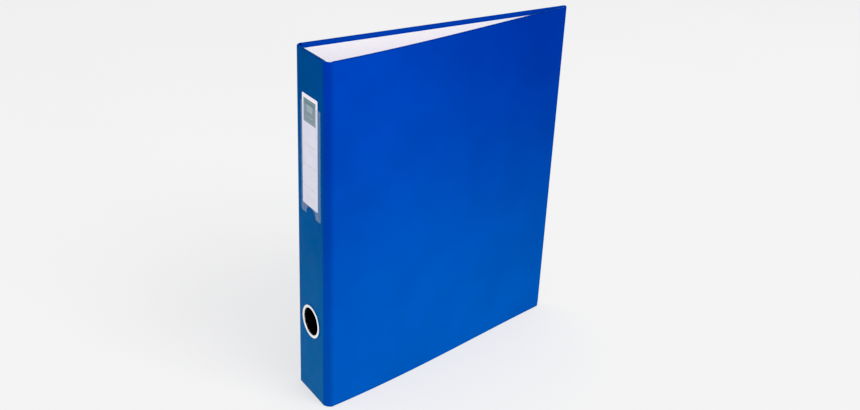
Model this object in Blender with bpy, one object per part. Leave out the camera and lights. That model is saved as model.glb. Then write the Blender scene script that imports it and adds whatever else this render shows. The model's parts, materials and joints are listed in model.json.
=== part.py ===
"""A4 lever arch file, standing upright with its case closed.

Frame, in metres: +Z up, spine outer face towards -X, front cover towards -Y, rear cover towards +Y.
The origin is the middle of the base. The case is described with u, the distance from the spine's
outer face along +X; the mechanism on the rear cover also uses w, the height above the lining.
"""
import math

import bmesh
import bpy
from mathutils import Matrix, Vector

MM = 0.001

# Case
HEIGHT = 320 * MM
DEPTH = 280 * MM
THICKNESS = 56 * MM                # outside, across the spine
PANEL = 3.0 * MM                   # film, board and lining together
FILM = 0.35 * MM
GAP = 0.1 * MM                     # between glued layers
TURN_IN = 4.0 * MM                 # film folded over onto the inner face
HINGE_R = 6.0 * MM                 # outer radius of the two fold strips
HINGE_END = math.radians(1.6)      # left free at each end of a fold strip
HINGE_AXIS_INSET = 1.0 * MM        # hinge axis, in from the sharp outer corner
FRONT_LEAN = math.radians(10.2)    # the front cover leans in until the fore-edges meet
FRONT_BOW = 3.0 * MM               # the front cover bulges out a third of the way along
COVER = DEPTH - HINGE_R            # length of either cover

# Finger ring and label on the spine
RING_Z = 75.7 * MM
RING_R = 15.35 * MM
RING_BORE_R = 12.7 * MM
RING_PROUD = 1.0 * MM
RING_WALL = 0.6 * MM
SPINE_HOLE_R = 13.7 * MM
SLEEVE_R = (11.9 * MM, 12.55 * MM)
SLEEVE_DEPTH = 11.0 * MM
POCKET_Y = (-18.0 * MM, 16.0 * MM)
POCKET_Z = (179.0 * MM, 277.0 * MM)
POCKET_PROUD = 0.7 * MM
POCKET_FILM = 0.2 * MM
THUMB_CUT_R = 8.5 * MM
CARD_Y = (-13.5 * MM, 13.0 * MM)
CARD_Z = (187.0 * MM, 284.5 * MM)
CARD_PLAY = 0.4 * MM
CARD_LAYER = (0.15 * MM, 0.38 * MM)

# Lever arch mechanism, centred on MID_Z, in u and w
MID_Z = HEIGHT / 2
PLATE_U = (17 * MM, 73 * MM)
PLATE_HALF_Z = 59 * MM
PLATE_W = (0.1 * MM, 1.1 * MM)
PLATE_CORNER_R = 5 * MM
RIVET_U = (22 * MM, 68 * MM)
RIVET_HALF_Z = 54 * MM
RIVET_R = 2.0 * MM
RIVET_HOLE_R = 2.25 * MM
RIVET_HEAD = 0.9 * MM              # how far the outside heads stand proud
POST_U = 64 * MM
POST_HALF_Z = 40 * MM              # half of the 80 mm filing pitch
POST_R = 2.0 * MM
POST_TOP_W = 15 * MM
POST_SPIGOT_R = 1.5 * MM
POST_HOLE_R = 1.8 * MM
WIRE_R = 1.9 * MM
ARCH_AXIS = (28 * MM, 3.5 * MM)
ARCH_BEND_R = (POST_U - ARCH_AXIS[0]) / 2
ARCH_SPRING_W = 17.2 * MM          # where the half circle of each arch begins
ARCH_TIP_W = POST_TOP_W + 0.4 * MM
WIRE_BEND_R = 4 * MM
CRANK_HALF_Z = 14 * MM
CRANK = (41.8 * MM, 5.0 * MM)      # the cranked middle of the arch wire
BEARING_HALF_Z = (27 * MM, 33 * MM)
BEARING_R = (2.3 * MM, 3.3 * MM)
LEVER_PIVOT = (47.5 * MM, 12 * MM)
LEVER_DROOP = math.radians(8)      # the closed handle slopes down towards the spine
LEVER_LENGTH = 32 * MM
LEVER_HALF_Z = 7.6 * MM
LEVER_SHEET = 1.2 * MM
LEVER_TOP = 4.2 * MM               # top of the handle above the pivot line
CHEEK_R = 2.7 * MM                 # round the lever pin
ROLLER_CHEEK_R = 2.0 * MM          # round the roller pin, clear of the crank
FINGER_TAB_R = 4.5 * MM
FINGER_TAB_SWEEP = math.radians(62)
EAR_HALF_Z = (8.2 * MM, 9.4 * MM)
EAR_R = 3.2 * MM
PIVOT_R = 1.5 * MM
PIVOT_HOLE_R = 1.75 * MM
ROLLER_ARM = 9.5 * MM
ROLLER_ANGLE = math.radians(15)    # roller below the horizontal through the pivot, lever closed
ROLLER_R = 3.5 * MM
ROLLER_HALF_Z = 4.6 * MM
ROLLER_PIN_R = 1.1 * MM
ROLLER_HOLE_R = 1.35 * MM
BAR_U = (57.5 * MM, 70.5 * MM)
BAR_HALF_Z = 48 * MM
BAR_W = (1.6 * MM, 5.0 * MM)
BAR_SHEET = 1.0 * MM
BAR_HOLE_R = 2.6 * MM

ROUND = 32                         # sides of turned pieces
TUBE = 12                          # sides of bent wire

SPINE_X = -(DEPTH - RING_PROUD) / 2
FRONT_Y = -(THICKNESS + RIVET_HEAD) / 2
REAR_Y = FRONT_Y + THICKNESS
SPINE_Y = (FRONT_Y + REAR_Y) / 2
SPINE_HALF = THICKNESS / 2 - HINGE_R


def srgb(red, green, blue):
    """A display colour, 0 to 255, as the linear colour that a shader takes."""
    def linear(value):
        value /= 255
        return value / 12.92 if value <= 0.04045 else ((value + 0.055) / 1.055) ** 2.4
    return (linear(red), linear(green), linear(blue), 1.0)


def material(name, colour, roughness, metallic=0.0, alpha=1.0):
    finish = bpy.data.materials.new(name)
    finish.use_nodes = True
    shader = finish.node_tree.nodes["Principled BSDF"]
    shader.inputs["Base Color"].default_value = colour
    shader.inputs["Roughness"].default_value = roughness
    shader.inputs["Metallic"].default_value = metallic
    shader.inputs["Alpha"].default_value = alpha
    finish.diffuse_color = colour[:3] + (alpha,)
    return finish


# Places: from a piece's own measures to the world

def on_spine(y, inward, z):
    return Vector((SPINE_X + inward, SPINE_Y + y, z))


def on_rear(along, inward, z):
    return Vector((SPINE_X + HINGE_R + along, REAR_Y - inward, z))


def on_front(along, inward, z):
    """The bowed front cover: a cubic bulge on a straight chord that leans in."""
    part = along / COVER
    bulge = 6.75 * FRONT_BOW * part * (1 - part) ** 2
    slope = 6.75 * FRONT_BOW * (1 - part) * (1 - 3 * part) / COVER
    chord = Vector((math.cos(FRONT_LEAN), math.sin(FRONT_LEAN), 0))
    outward = Vector((math.sin(FRONT_LEAN), -math.cos(FRONT_LEAN), 0))
    normal = (slope * chord - outward).normalized()
    start = Vector((SPINE_X + HINGE_R, FRONT_Y, z))
    return start + along * chord + bulge * outward + inward * normal


def on_fold(side):
    """A fold strip's place, side -1 at the front and +1 at the rear: angle, radius and height."""
    centre = Vector((SPINE_X + HINGE_R, SPINE_Y + side * SPINE_HALF, 0))

    def place(angle, radius, z):
        return centre + Vector((-radius * math.cos(angle), side * radius * math.sin(angle), z))
    return place


def on_plate(u, w, z):
    return Vector((SPINE_X + u, REAR_Y - PANEL - w, MID_Z + z))


def on_lever(along, up, z):
    """The closed lever: along from its pivot to the finger tab, and up across it."""
    u = LEVER_PIVOT[0] - along * math.cos(LEVER_DROOP) - up * math.sin(LEVER_DROOP)
    w = LEVER_PIVOT[1] - along * math.sin(LEVER_DROOP) + up * math.cos(LEVER_DROOP)
    return on_plate(u, w, z)


# Ways of making a solid

def add_object(name, shape, finish=None, smooth=False):
    bmesh.ops.recalc_face_normals(shape, faces=shape.faces)
    mesh = bpy.data.meshes.new(name)
    shape.to_mesh(mesh)
    shape.free()
    piece = bpy.data.objects.new(name, mesh)
    bpy.context.scene.collection.objects.link(piece)
    if finish:
        mesh.materials.append(finish)
    if smooth:
        mesh.shade_smooth()
        mesh.set_sharp_from_angle(angle=math.radians(35))
    return piece


def steps(low, high, count):
    return [low + (high - low) * index / count for index in range(count + 1)]


def add_layered(name, cuts, holds, place, finish=None, smooth=False):
    """A solid of the cells between three lists of cuts, for the cells whose middle holds() keeps."""
    shape = bmesh.new()
    corners = {}

    def corner(index):
        if index not in corners:
            corners[index] = shape.verts.new(place(*(cuts[axis][index[axis]] for axis in range(3))))
        return corners[index]

    def filled(cell):
        if any(not 0 <= cell[axis] < len(cuts[axis]) - 1 for axis in range(3)):
            return False
        middle = [(cuts[axis][cell[axis]] + cuts[axis][cell[axis] + 1]) / 2 for axis in range(3)]
        return holds(*middle)

    counts = [len(cut) - 1 for cut in cuts]
    for first in range(counts[0]):
        for second in range(counts[1]):
            for third in range(counts[2]):
                cell = (first, second, third)
                if filled(cell):
                    add_open_sides(shape, cell, corner, filled)
    return add_object(name, shape, finish, smooth)


def add_open_sides(shape, cell, corner, filled):
    """The faces of one cell that have no filled cell behind them."""
    for axis in range(3):
        across, up = (axis + 1) % 3, (axis + 2) % 3
        for side in (0, 1):
            neighbour = list(cell)
            neighbour[axis] += 2 * side - 1
            if filled(tuple(neighbour)):
                continue
            ring = []
            for step_across, step_up in ((0, 0), (1, 0), (1, 1), (0, 1)):
                index = list(cell)
                index[axis] += side
                index[across] += step_across
                index[up] += step_up
                ring.append(corner(tuple(index)))
            shape.faces.new(ring if side else ring[::-1])


def everywhere(*_):
    return True


def add_extruded(name, outline, low, high, place, finish=None, smooth=False):
    """A flat outline given a thickness; place takes the outline's two measures and the depth."""
    shape = bmesh.new()
    ends = [[shape.verts.new(place(first, second, depth)) for first, second in outline]
            for depth in (low, high)]
    shape.faces.new(ends[0][::-1])
    shape.faces.new(ends[1])
    bridge(shape, ends[0], ends[1])
    return add_object(name, shape, finish, smooth)


def bridge(shape, lower, upper):
    count = len(lower)
    for index in range(count):
        after = (index + 1) % count
        shape.faces.new((lower[index], lower[after], upper[after], upper[index]))


def add_turned(name, profile, base, direction, finish=None, sides=ROUND, ring=False):
    """A turned piece: radius and height pairs spun about the line through base along direction.

    A ring has a closed profile away from the axis; any other piece is capped at both ends.
    """
    shape = bmesh.new()
    aim = direction.normalized().to_track_quat("Z", "Y").to_matrix()
    rings = []
    for radius, height in profile:
        points = []
        for index in range(sides):
            angle = 2 * math.pi * index / sides
            local = Vector((radius * math.cos(angle), radius * math.sin(angle), height))
            points.append(shape.verts.new(base + aim @ local))
        rings.append(points)
    for lower, upper in zip(rings, rings[1:]):
        bridge(shape, lower, upper)
    if ring:
        bridge(shape, rings[-1], rings[0])
    else:
        shape.faces.new(rings[0][::-1])
        shape.faces.new(rings[-1])
    return add_object(name, shape, finish, smooth=True)


def bent_path(corners):
    """Points along straight runs joined by arcs; each corner is a point and its bend radius."""
    path = [corners[0][0]]
    for (before, _), (point, radius), (after, _) in zip(corners, corners[1:], corners[2:]):
        back = (before - point).normalized()
        onward = (after - point).normalized()
        turn = math.pi - back.angle(onward)
        centre = point + (back + onward).normalized() * radius / math.cos(turn / 2)
        start = point + back * radius * math.tan(turn / 2) - centre
        end = point + onward * radius * math.tan(turn / 2) - centre
        count = max(3, round(turn / math.radians(15)))
        for index in range(count + 1):
            share = index / count
            first = math.sin((1 - share) * turn) / math.sin(turn)
            second = math.sin(share * turn) / math.sin(turn)
            bend = centre + first * start + second * end
            if (bend - path[-1]).length > 0.05 * MM:
                path.append(bend)
    path.append(corners[-1][0])
    return path


def add_wire(name, path, radii, finish):
    """Round wire along a path, one radius at each point, closed at both ends."""
    shape = bmesh.new()
    rings = []
    tangent = (path[1] - path[0]).normalized()
    across = tangent.orthogonal().normalized()
    for index, point in enumerate(path):
        before = path[max(index - 1, 0)]
        after = path[min(index + 1, len(path) - 1)]
        heading = (after - before).normalized()
        across = tangent.rotation_difference(heading) @ across
        tangent = heading
        other = tangent.cross(across)
        points = []
        for side in range(TUBE):
            angle = 2 * math.pi * side / TUBE
            offset = math.cos(angle) * across + math.sin(angle) * other
            points.append(shape.verts.new(point + radii[index] * offset))
        rings.append(points)
    for lower, upper in zip(rings, rings[1:]):
        bridge(shape, lower, upper)
    shape.faces.new(rings[0][::-1])
    shape.faces.new(rings[-1])
    return add_object(name, shape, finish, smooth=True)


def combine(piece, operand, operation):
    """Cuts or joins with a second solid, which stays as a hidden guide."""
    operand.hide_render = True
    operand.display_type = "WIRE"
    step = piece.modifiers.new(operand.name, "BOOLEAN")
    step.operation = operation
    step.solver = "EXACT"
    step.object = operand


def arc(centre, radius, start, end, count):
    """Points on an arc in a plane, angles in degrees."""
    angles = (math.radians(angle) for angle in steps(start, end, count))
    return [(centre[0] + radius * math.cos(angle), centre[1] + radius * math.sin(angle)) for angle in angles]


def hinge_empty(name, place, *pieces):
    """An empty on a joint's axis that carries the pieces that turn or slide with it."""
    pivot = bpy.data.objects.new(name, None)
    pivot.location = place
    bpy.context.scene.collection.objects.link(pivot)
    for piece in pieces:
        piece.parent = pivot
        piece.matrix_parent_inverse = Matrix.Translation(-Vector(place))
    return pivot


# The case

def add_panel(name, place, low, high, has_free_edge, finishes, cut_count):
    """Film tray, board and lining of one panel, from low to high along it."""
    film, board, lining = finishes

    def edge_distance(along, z):
        distance = min(z, HEIGHT - z)
        return min(distance, high - along) if has_free_edge else distance

    def in_film(along, inward, z):
        edge = edge_distance(along, z)
        return inward < FILM or edge < FILM or (inward > PANEL - FILM and edge < TURN_IN)

    far = high - FILM - GAP if has_free_edge else high
    inner_far = high - TURN_IN - GAP if has_free_edge else high
    film_cuts = steps(low, high - TURN_IN if has_free_edge else high, cut_count)
    if has_free_edge:
        film_cuts += [high - FILM, high]
    heights = [0, FILM, TURN_IN, HEIGHT - TURN_IN, HEIGHT - FILM, HEIGHT]
    skin = add_layered(name + "_skin", (film_cuts, [0, FILM, PANEL - FILM, PANEL], heights),
                       in_film, place, film)
    board_heights = [FILM + GAP, HEIGHT - FILM - GAP]
    stiffener = add_layered(name + "_board", (steps(low, far, cut_count),
                                              [FILM + GAP, PANEL - FILM - GAP], board_heights),
                            everywhere, place, board)
    lining_heights = [TURN_IN + GAP, HEIGHT - TURN_IN - GAP]
    paper = add_layered(name + "_lining", (steps(low, inner_far, cut_count),
                                           [PANEL - FILM, PANEL], lining_heights),
                        everywhere, place, lining)
    return skin, stiffener, paper


def add_fold(name, side, film, lining):
    """The flexible strip between spine and cover: film outside, lining inside."""
    angles = steps(HINGE_END, math.pi / 2 - HINGE_END, 8)
    place = on_fold(side)
    lining_r = HINGE_R - FILM - GAP
    outer = add_layered(name + "_film", (angles, [HINGE_R - FILM, HINGE_R], [0, HEIGHT]),
                        everywhere, place, film, smooth=True)
    inner = add_layered(name + "_lining", (angles, [lining_r - FILM, lining_r], [TURN_IN, HEIGHT - TURN_IN]),
                        everywhere, place, lining, smooth=True)
    return outer, inner


def add_finger_ring(metal, plastic):
    """Metal ring clinched on a washer, and the black bush that lines the hole."""
    centre = on_spine(0, 0, RING_Z)
    outward = Vector((-1, 0, 0))
    barrel_r = RING_BORE_R + RING_WALL
    seat = 0.15 * MM
    profile = [(barrel_r, -PANEL - 1.2 * MM), (barrel_r, seat), (RING_R - 0.35 * MM, seat),
               (RING_R, 0.35 * MM), (RING_R - 0.35 * MM, 0.7 * MM), (RING_R - 1.4 * MM, RING_PROUD),
               (RING_BORE_R + 0.4 * MM, 0.9 * MM), (RING_BORE_R, 0.3 * MM), (RING_BORE_R, -PANEL - 1.2 * MM)]
    ring = add_turned("finger_ring", profile, centre, outward, metal, sides=48, ring=True)
    inner = barrel_r + 0.3 * MM
    low, high = -PANEL - 0.9 * MM, -PANEL - 0.3 * MM
    washer_profile = [(inner, low), (RING_R - 0.3 * MM, low), (RING_R - 0.3 * MM, high), (inner, high)]
    washer = add_turned("finger_ring_washer", washer_profile, centre, outward, metal, sides=48, ring=True)
    outer, flange = SLEEVE_R[1], -PANEL - 1.4 * MM
    sleeve_profile = [(SLEEVE_R[0], -SLEEVE_DEPTH), (SLEEVE_R[0], -0.8 * MM), (outer, -0.4 * MM),
                      (outer, flange), (RING_R - MM, flange), (RING_R - MM, flange - MM),
                      (outer + 0.6 * MM, flange - MM), (outer + 0.4 * MM, -SLEEVE_DEPTH)]
    sleeve = add_turned("finger_ring_sleeve", sleeve_profile, centre, outward, plastic, sides=48, ring=True)
    return ring, washer, sleeve


def add_label(clear_film, card_stock):
    """A clear pocket welded at its sides and foot, with a thumb cut, and the card standing in it."""
    sides = (CARD_Y[0] - CARD_PLAY, CARD_Y[1] + CARD_PLAY)
    foot = CARD_Z[0] - CARD_PLAY

    def in_pocket(y, inward, z):
        welded = y < sides[0] or y > sides[1] or z < foot
        return welded or inward < POCKET_FILM - POCKET_PROUD

    layers = [-POCKET_PROUD, POCKET_FILM - POCKET_PROUD, -GAP]
    cuts = ([POCKET_Y[0], *sides, POCKET_Y[1]], layers, [POCKET_Z[0], foot, POCKET_Z[1]])
    pocket = add_layered("label_pocket", cuts, in_pocket, on_spine, clear_film)
    middle = sum(POCKET_Y) / 2
    thumb = add_turned("thumb_cutter", [(THUMB_CUT_R, -MM), (THUMB_CUT_R, 2 * MM)],
                       on_spine(middle, 0, POCKET_Z[0]), Vector((-1, 0, 0)))
    combine(pocket, thumb, "DIFFERENCE")
    card_layer = [-CARD_LAYER[1], -CARD_LAYER[0]]
    card = add_layered("label_card", (list(CARD_Y), card_layer, list(CARD_Z)),
                       everywhere, on_spine, card_stock)
    return pocket, card


# The mechanism

def hole_cutter(name, places, radius, direction, low, high):
    """One guide solid made of several cylinders."""
    shape = bmesh.new()
    aim = direction.to_track_quat("Z", "Y").to_matrix().to_4x4()
    for place in places:
        middle = place + direction * (low + high) / 2
        bmesh.ops.create_cone(shape, cap_ends=True, segments=20, radius1=radius, radius2=radius,
                              depth=high - low, matrix=Matrix.Translation(middle) @ aim)
    return add_object(name, shape)


def rivet_places():
    return [(u, side * RIVET_HALF_Z) for u in RIVET_U for side in (-1, 1)]


def add_rivets(steel):
    """Four hollow rivets through cover and plate: domed head outside, rolled rim inside."""
    rim = PANEL + PLATE_W[1]
    profile = [(0.5 * MM, -RIVET_HEAD), (2.6 * MM, -RIVET_HEAD + 0.15 * MM), (4.0 * MM, -0.45 * MM),
               (4.2 * MM, -0.15 * MM), (RIVET_R, -0.15 * MM), (RIVET_R, rim + 0.2 * MM),
               (3.1 * MM, rim + 0.2 * MM), (3.2 * MM, rim + 0.5 * MM), (2.5 * MM, rim + 0.9 * MM),
               (1.4 * MM, rim + 0.6 * MM), (1.2 * MM, rim - 2.5 * MM)]
    rivets = []
    for number, (u, z) in enumerate(rivet_places(), start=1):
        base = on_plate(u, -PANEL, z)
        rivets.append(add_turned(f"rivet_{number}", profile, base, Vector((0, -1, 0)), steel, sides=20))
    return rivets


def add_base_plate(steel):
    """Pressed plate with two bearing loops for the arch wire and two ears for the lever pin."""
    u0, u1 = PLATE_U
    r = PLATE_CORNER_R
    z1 = PLATE_HALF_Z
    corners = ((u1 - r, z1 - r, 0), (u0 + r, z1 - r, 90), (u0 + r, r - z1, 180), (u1 - r, r - z1, 270))
    outline = []
    for u, z, start in corners:
        outline += arc((u, z), r, start, start + 90, 4)
    plate = add_extruded("base_plate", outline, *PLATE_W, lambda u, z, w: on_plate(u, w, z), steel)
    foot = sum(PLATE_W) / 2
    inner, outer = BEARING_R
    loop = [(ARCH_AXIS[0] + outer, foot)] + arc(ARCH_AXIS, outer, 0, 180, 10)
    loop += [(ARCH_AXIS[0] - outer, foot), (ARCH_AXIS[0] - inner, foot)]
    loop += arc(ARCH_AXIS, inner, 180, 0, 10) + [(ARCH_AXIS[0] + inner, foot)]
    pivot_u = LEVER_PIVOT[0]
    ear = [(pivot_u - EAR_R + 0.4 * MM, foot), (pivot_u + 6.5 * MM, foot), (pivot_u + 6.5 * MM, 3 * MM)]
    ear += arc(LEVER_PIVOT, EAR_R, 15, 180, 10)
    for side, mark in ((-1, "lower"), (1, "upper")):
        low, high = sorted(side * edge for edge in BEARING_HALF_Z)
        combine(plate, add_extruded(f"bearing_loop_{mark}", loop, low, high, on_plate), "UNION")
        low, high = sorted(side * edge for edge in EAR_HALF_Z)
        combine(plate, add_extruded(f"lever_ear_{mark}", ear, low, high, on_plate), "UNION")
    along_z = Vector((0, 0, 1))
    reach = EAR_HALF_Z[1] + MM
    combine(plate, hole_cutter("ear_bore_cutter", [on_plate(*LEVER_PIVOT, 0)], PIVOT_HOLE_R, along_z,
                               -reach, reach), "DIFFERENCE")
    posts = [on_plate(POST_U, 0, side * POST_HALF_Z) for side in (-1, 1)]
    combine(plate, hole_cutter("post_hole_cutter", posts, POST_HOLE_R, Vector((0, -1, 0)),
                               -0.5 * MM, 2 * MM), "DIFFERENCE")
    return plate


def add_posts(steel):
    """Fixed posts with a spigot in the plate and a countersunk top that takes the arch's nib."""
    shoulder = PLATE_W[1] + 0.25 * MM
    profile = [(POST_SPIGOT_R, PLATE_W[0] + 0.15 * MM), (POST_SPIGOT_R, shoulder), (POST_R, shoulder),
               (POST_R, POST_TOP_W - 0.2 * MM), (1.85 * MM, POST_TOP_W), (1.75 * MM, POST_TOP_W),
               (0.5 * MM, POST_TOP_W - 1.3 * MM)]
    return [add_turned(f"post_{mark}", profile, on_plate(POST_U, 0, side * POST_HALF_Z),
                       Vector((0, -1, 0)), steel, sides=20)
            for side, mark in ((-1, "lower"), (1, "upper"))]


def add_arch_wire(steel):
    """One bent wire: two arches, the pivot runs in the bearings and the cranked middle."""
    top = ARCH_SPRING_W + ARCH_BEND_R
    half = []
    for point, radius in (((CRANK[0], CRANK[1], CRANK_HALF_Z), WIRE_BEND_R),
                          ((*ARCH_AXIS, CRANK_HALF_Z), WIRE_BEND_R),
                          ((*ARCH_AXIS, POST_HALF_Z), WIRE_BEND_R),
                          ((ARCH_AXIS[0], top, POST_HALF_Z), ARCH_BEND_R),
                          ((POST_U, top, POST_HALF_Z), ARCH_BEND_R),
                          ((POST_U, ARCH_TIP_W, POST_HALF_Z), 0)):
        half.append((point, radius))
    mirrored = [((u, w, -z), radius) for (u, w, z), radius in reversed(half)]
    path = bent_path([(on_plate(*point), radius) for point, radius in mirrored + half])
    down = Vector((0, 1, 0))
    nib = [(1.25 * MM, 0), (0.35 * MM, 0.95 * MM)]
    first = [path[0] + down * drop for _, drop in reversed(nib)]
    last = [path[-1] + down * drop for _, drop in nib]
    nib_radii = [radius for radius, _ in nib]
    radii = nib_radii[::-1] + [WIRE_R] * len(path) + nib_radii
    return add_wire("arch_wire", first + path + last, radii, steel)


def lever_half_width(along):
    """The handle widens a little towards the finger tab."""
    share = min(max(along / LEVER_LENGTH, 0), 1)
    return LEVER_HALF_Z + 1.4 * MM * share ** 2


def add_lever(steel):
    """Channel-shaped lever: handle with a curled finger tab and two cheeks round the roller."""
    start = -3.2 * MM
    tab_length = FINGER_TAB_R * FINGER_TAB_SWEEP
    curl = LEVER_TOP - LEVER_SHEET / 2 + FINGER_TAB_R

    def place(run, up, share):
        width = lever_half_width(run) * share
        if run <= LEVER_LENGTH:
            return on_lever(run, up, width)
        angle = (run - LEVER_LENGTH) / FINGER_TAB_R
        radius = curl - up
        return on_lever(LEVER_LENGTH + radius * math.sin(angle), curl - radius * math.cos(angle), width)

    runs = steps(start, LEVER_LENGTH, 6) + steps(LEVER_LENGTH, LEVER_LENGTH + tab_length, 6)[1:]
    lever = add_layered("lever", (runs, [LEVER_TOP - LEVER_SHEET, LEVER_TOP], [-1, 1]),
                        everywhere, place, steel, smooth=True)
    roller = lever_roller_place()
    cheek_top = LEVER_TOP - LEVER_SHEET / 2
    cheek = [(start, cheek_top)] + arc((0, 0), CHEEK_R, 180, 270, 5)
    cheek += arc(roller, ROLLER_CHEEK_R, 270, 360, 5) + [(roller[0] + 5 * MM, cheek_top)]
    for side, mark in ((-1, "lower"), (1, "upper")):
        low, high = sorted((side * LEVER_HALF_Z, side * (LEVER_HALF_Z - LEVER_SHEET)))
        combine(lever, add_extruded(f"lever_cheek_{mark}", cheek, low, high, on_lever), "UNION")
    along_z = Vector((0, 0, 1))
    reach = LEVER_HALF_Z + MM
    combine(lever, hole_cutter("lever_bore_cutter", [on_lever(0, 0, 0)], PIVOT_HOLE_R, along_z,
                               -reach, reach), "DIFFERENCE")
    combine(lever, hole_cutter("roller_bore_cutter", [on_lever(*roller, 0)], ROLLER_HOLE_R, along_z,
                               -reach, reach), "DIFFERENCE")
    return lever


def lever_roller_place():
    """The roller's axis in the lever's own measures."""
    angle = ROLLER_ANGLE - LEVER_DROOP
    return (ROLLER_ARM * math.cos(angle), -ROLLER_ARM * math.sin(angle))


def add_pins_and_roller(steel, plastic):
    along_z = Vector((0, 0, 1))
    reach = EAR_HALF_Z[1] + 0.3 * MM
    head = 2.4 * MM
    pin_profile = [(head - 0.4 * MM, -reach - 0.9 * MM), (head, -reach - 0.5 * MM), (head, -reach),
                   (PIVOT_R, -reach), (PIVOT_R, reach), (head, reach), (head, reach + 0.5 * MM),
                   (head - 0.4 * MM, reach + 0.9 * MM)]
    lever_pin = add_turned("lever_pin", pin_profile, on_plate(*LEVER_PIVOT, 0), along_z, steel, sides=20)
    centre = on_lever(*lever_roller_place(), 0)
    half = LEVER_HALF_Z + 0.25 * MM
    roller_pin = add_turned("roller_pin", [(ROLLER_PIN_R, -half), (ROLLER_PIN_R, half)],
                            centre, along_z, steel, sides=16)
    chamfer = 0.4 * MM
    half = ROLLER_HALF_Z
    roller_profile = [(ROLLER_HOLE_R, -half), (ROLLER_R - chamfer, -half), (ROLLER_R, -half + chamfer),
                      (ROLLER_R, half - chamfer), (ROLLER_R - chamfer, half), (ROLLER_HOLE_R, half)]
    roller = add_turned("roller", roller_profile, centre, along_z, plastic, sides=28, ring=True)
    return lever_pin, roller_pin, roller


def add_leaf_spring(steel):
    """A bowed leaf under the crank, drawn pressed down as it is with the arches closed."""
    low_u, high_u = 30.5 * MM, 44 * MM

    def place(u, w, z):
        share = (u - low_u) / (high_u - low_u)
        return on_plate(u, w + 1.1 * MM * share ** 1.5, z)

    layer = [PLATE_W[1] + 0.3 * MM, PLATE_W[1] + 0.7 * MM]
    return add_layered("leaf_spring", (steps(low_u, high_u, 8), layer, [-5 * MM, 5 * MM]),
                       everywhere, place, steel, smooth=True)


def add_compressor_bar(steel):
    """A channel that slides on the two posts and holds the papers down."""
    cuts = ([BAR_U[0], BAR_U[0] + BAR_SHEET, BAR_U[1] - BAR_SHEET, BAR_U[1]],
            [BAR_W[0], BAR_W[1] - BAR_SHEET, BAR_W[1]], [-BAR_HALF_Z, BAR_HALF_Z])

    def in_bar(u, w, z):
        edge = min(u - BAR_U[0], BAR_U[1] - u)
        return w > BAR_W[1] - BAR_SHEET or edge < BAR_SHEET

    bar = add_layered("compressor_bar", cuts, in_bar, on_plate, steel)
    posts = [on_plate(POST_U, 0, side * POST_HALF_Z) for side in (-1, 1)]
    combine(bar, hole_cutter("bar_hole_cutter", posts, BAR_HOLE_R, Vector((0, -1, 0)), MM, 7 * MM),
            "DIFFERENCE")
    return bar


def main():
    for old in list(bpy.data.objects):
        bpy.data.objects.remove(old, do_unlink=True)

    cover_film = material("cover_film", srgb(0, 72, 188), 0.38)
    fold_film = material("fold_film", srgb(0, 58, 168), 0.40)
    greyboard = material("greyboard", srgb(150, 142, 130), 0.9)
    lining = material("lining", srgb(244, 243, 246), 0.7)
    nickel = material("nickel_plate", srgb(205, 205, 208), 0.22, metallic=1.0)
    spring_steel = material("spring_steel", srgb(120, 122, 126), 0.35, metallic=1.0)
    roller_plastic = material("roller_plastic", srgb(235, 235, 232), 0.4)
    black_plastic = material("black_plastic", srgb(14, 14, 15), 0.5)
    clear_film = material("clear_film", srgb(200, 215, 230), 0.15, alpha=0.3)
    card_stock = material("card_stock", srgb(228, 226, 240), 0.6)

    finishes = (cover_film, greyboard, lining)
    start = GAP
    rear = add_panel("rear_cover", on_rear, start, COVER, True, finishes, 1)
    front = add_panel("front_cover", on_front, start, COVER, True, finishes, 18)
    half = SPINE_HALF - GAP
    spine = add_panel("spine", on_spine, -half, half, False, finishes, 1)
    add_fold("rear_hinge", 1, fold_film, lining)
    front_fold = add_fold("front_hinge", -1, fold_film, lining)

    ring_parts = add_finger_ring(nickel, black_plastic)
    finger_hole = hole_cutter("finger_hole_cutter", [on_spine(0, 0, RING_Z)], SPINE_HOLE_R,
                              Vector((1, 0, 0)), -MM, PANEL + MM)
    for layer in spine:
        combine(layer, finger_hole, "DIFFERENCE")
    pocket, card = add_label(clear_film, card_stock)

    plate = add_base_plate(nickel)
    rivet_holes = hole_cutter("rivet_hole_cutter", [on_plate(u, 0, z) for u, z in rivet_places()],
                              RIVET_HOLE_R, Vector((0, -1, 0)), -PANEL - MM, 2 * MM)
    for layer in (*rear, plate):
        combine(layer, rivet_holes, "DIFFERENCE")
    add_rivets(nickel)
    add_posts(nickel)
    arch = add_arch_wire(nickel)
    lever = add_lever(nickel)
    _, roller_pin, roller = add_pins_and_roller(nickel, roller_plastic)
    add_leaf_spring(spring_steel)
    bar = add_compressor_bar(nickel)

    inset = HINGE_AXIS_INSET
    spine_axis = hinge_empty("spine_axis", (SPINE_X + inset, REAR_Y - inset, 0),
                             *spine, *front_fold, *ring_parts, pocket)
    front_axis = hinge_empty("front_cover_axis", (SPINE_X + inset, FRONT_Y + inset, 0), *front)
    card_slide = hinge_empty("label_card_slide", on_spine(0, 0, CARD_Z[0]), card)
    for carried in (front_axis, card_slide):
        carried.parent = spine_axis
        carried.matrix_parent_inverse = Matrix.Translation(-spine_axis.location)
    hinge_empty("arch_axis", on_plate(*ARCH_AXIS, 0), arch)
    lever_axis = hinge_empty("lever_axis", on_plate(*LEVER_PIVOT, 0), lever, roller_pin)
    roller_axis = hinge_empty("roller_axis", on_lever(*lever_roller_place(), 0), roller)
    roller_axis.parent = lever_axis
    roller_axis.matrix_parent_inverse = Matrix.Translation(-lever_axis.location)
    hinge_empty("compressor_slide", on_plate(POST_U, BAR_W[0], 0), bar)


main()
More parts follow.
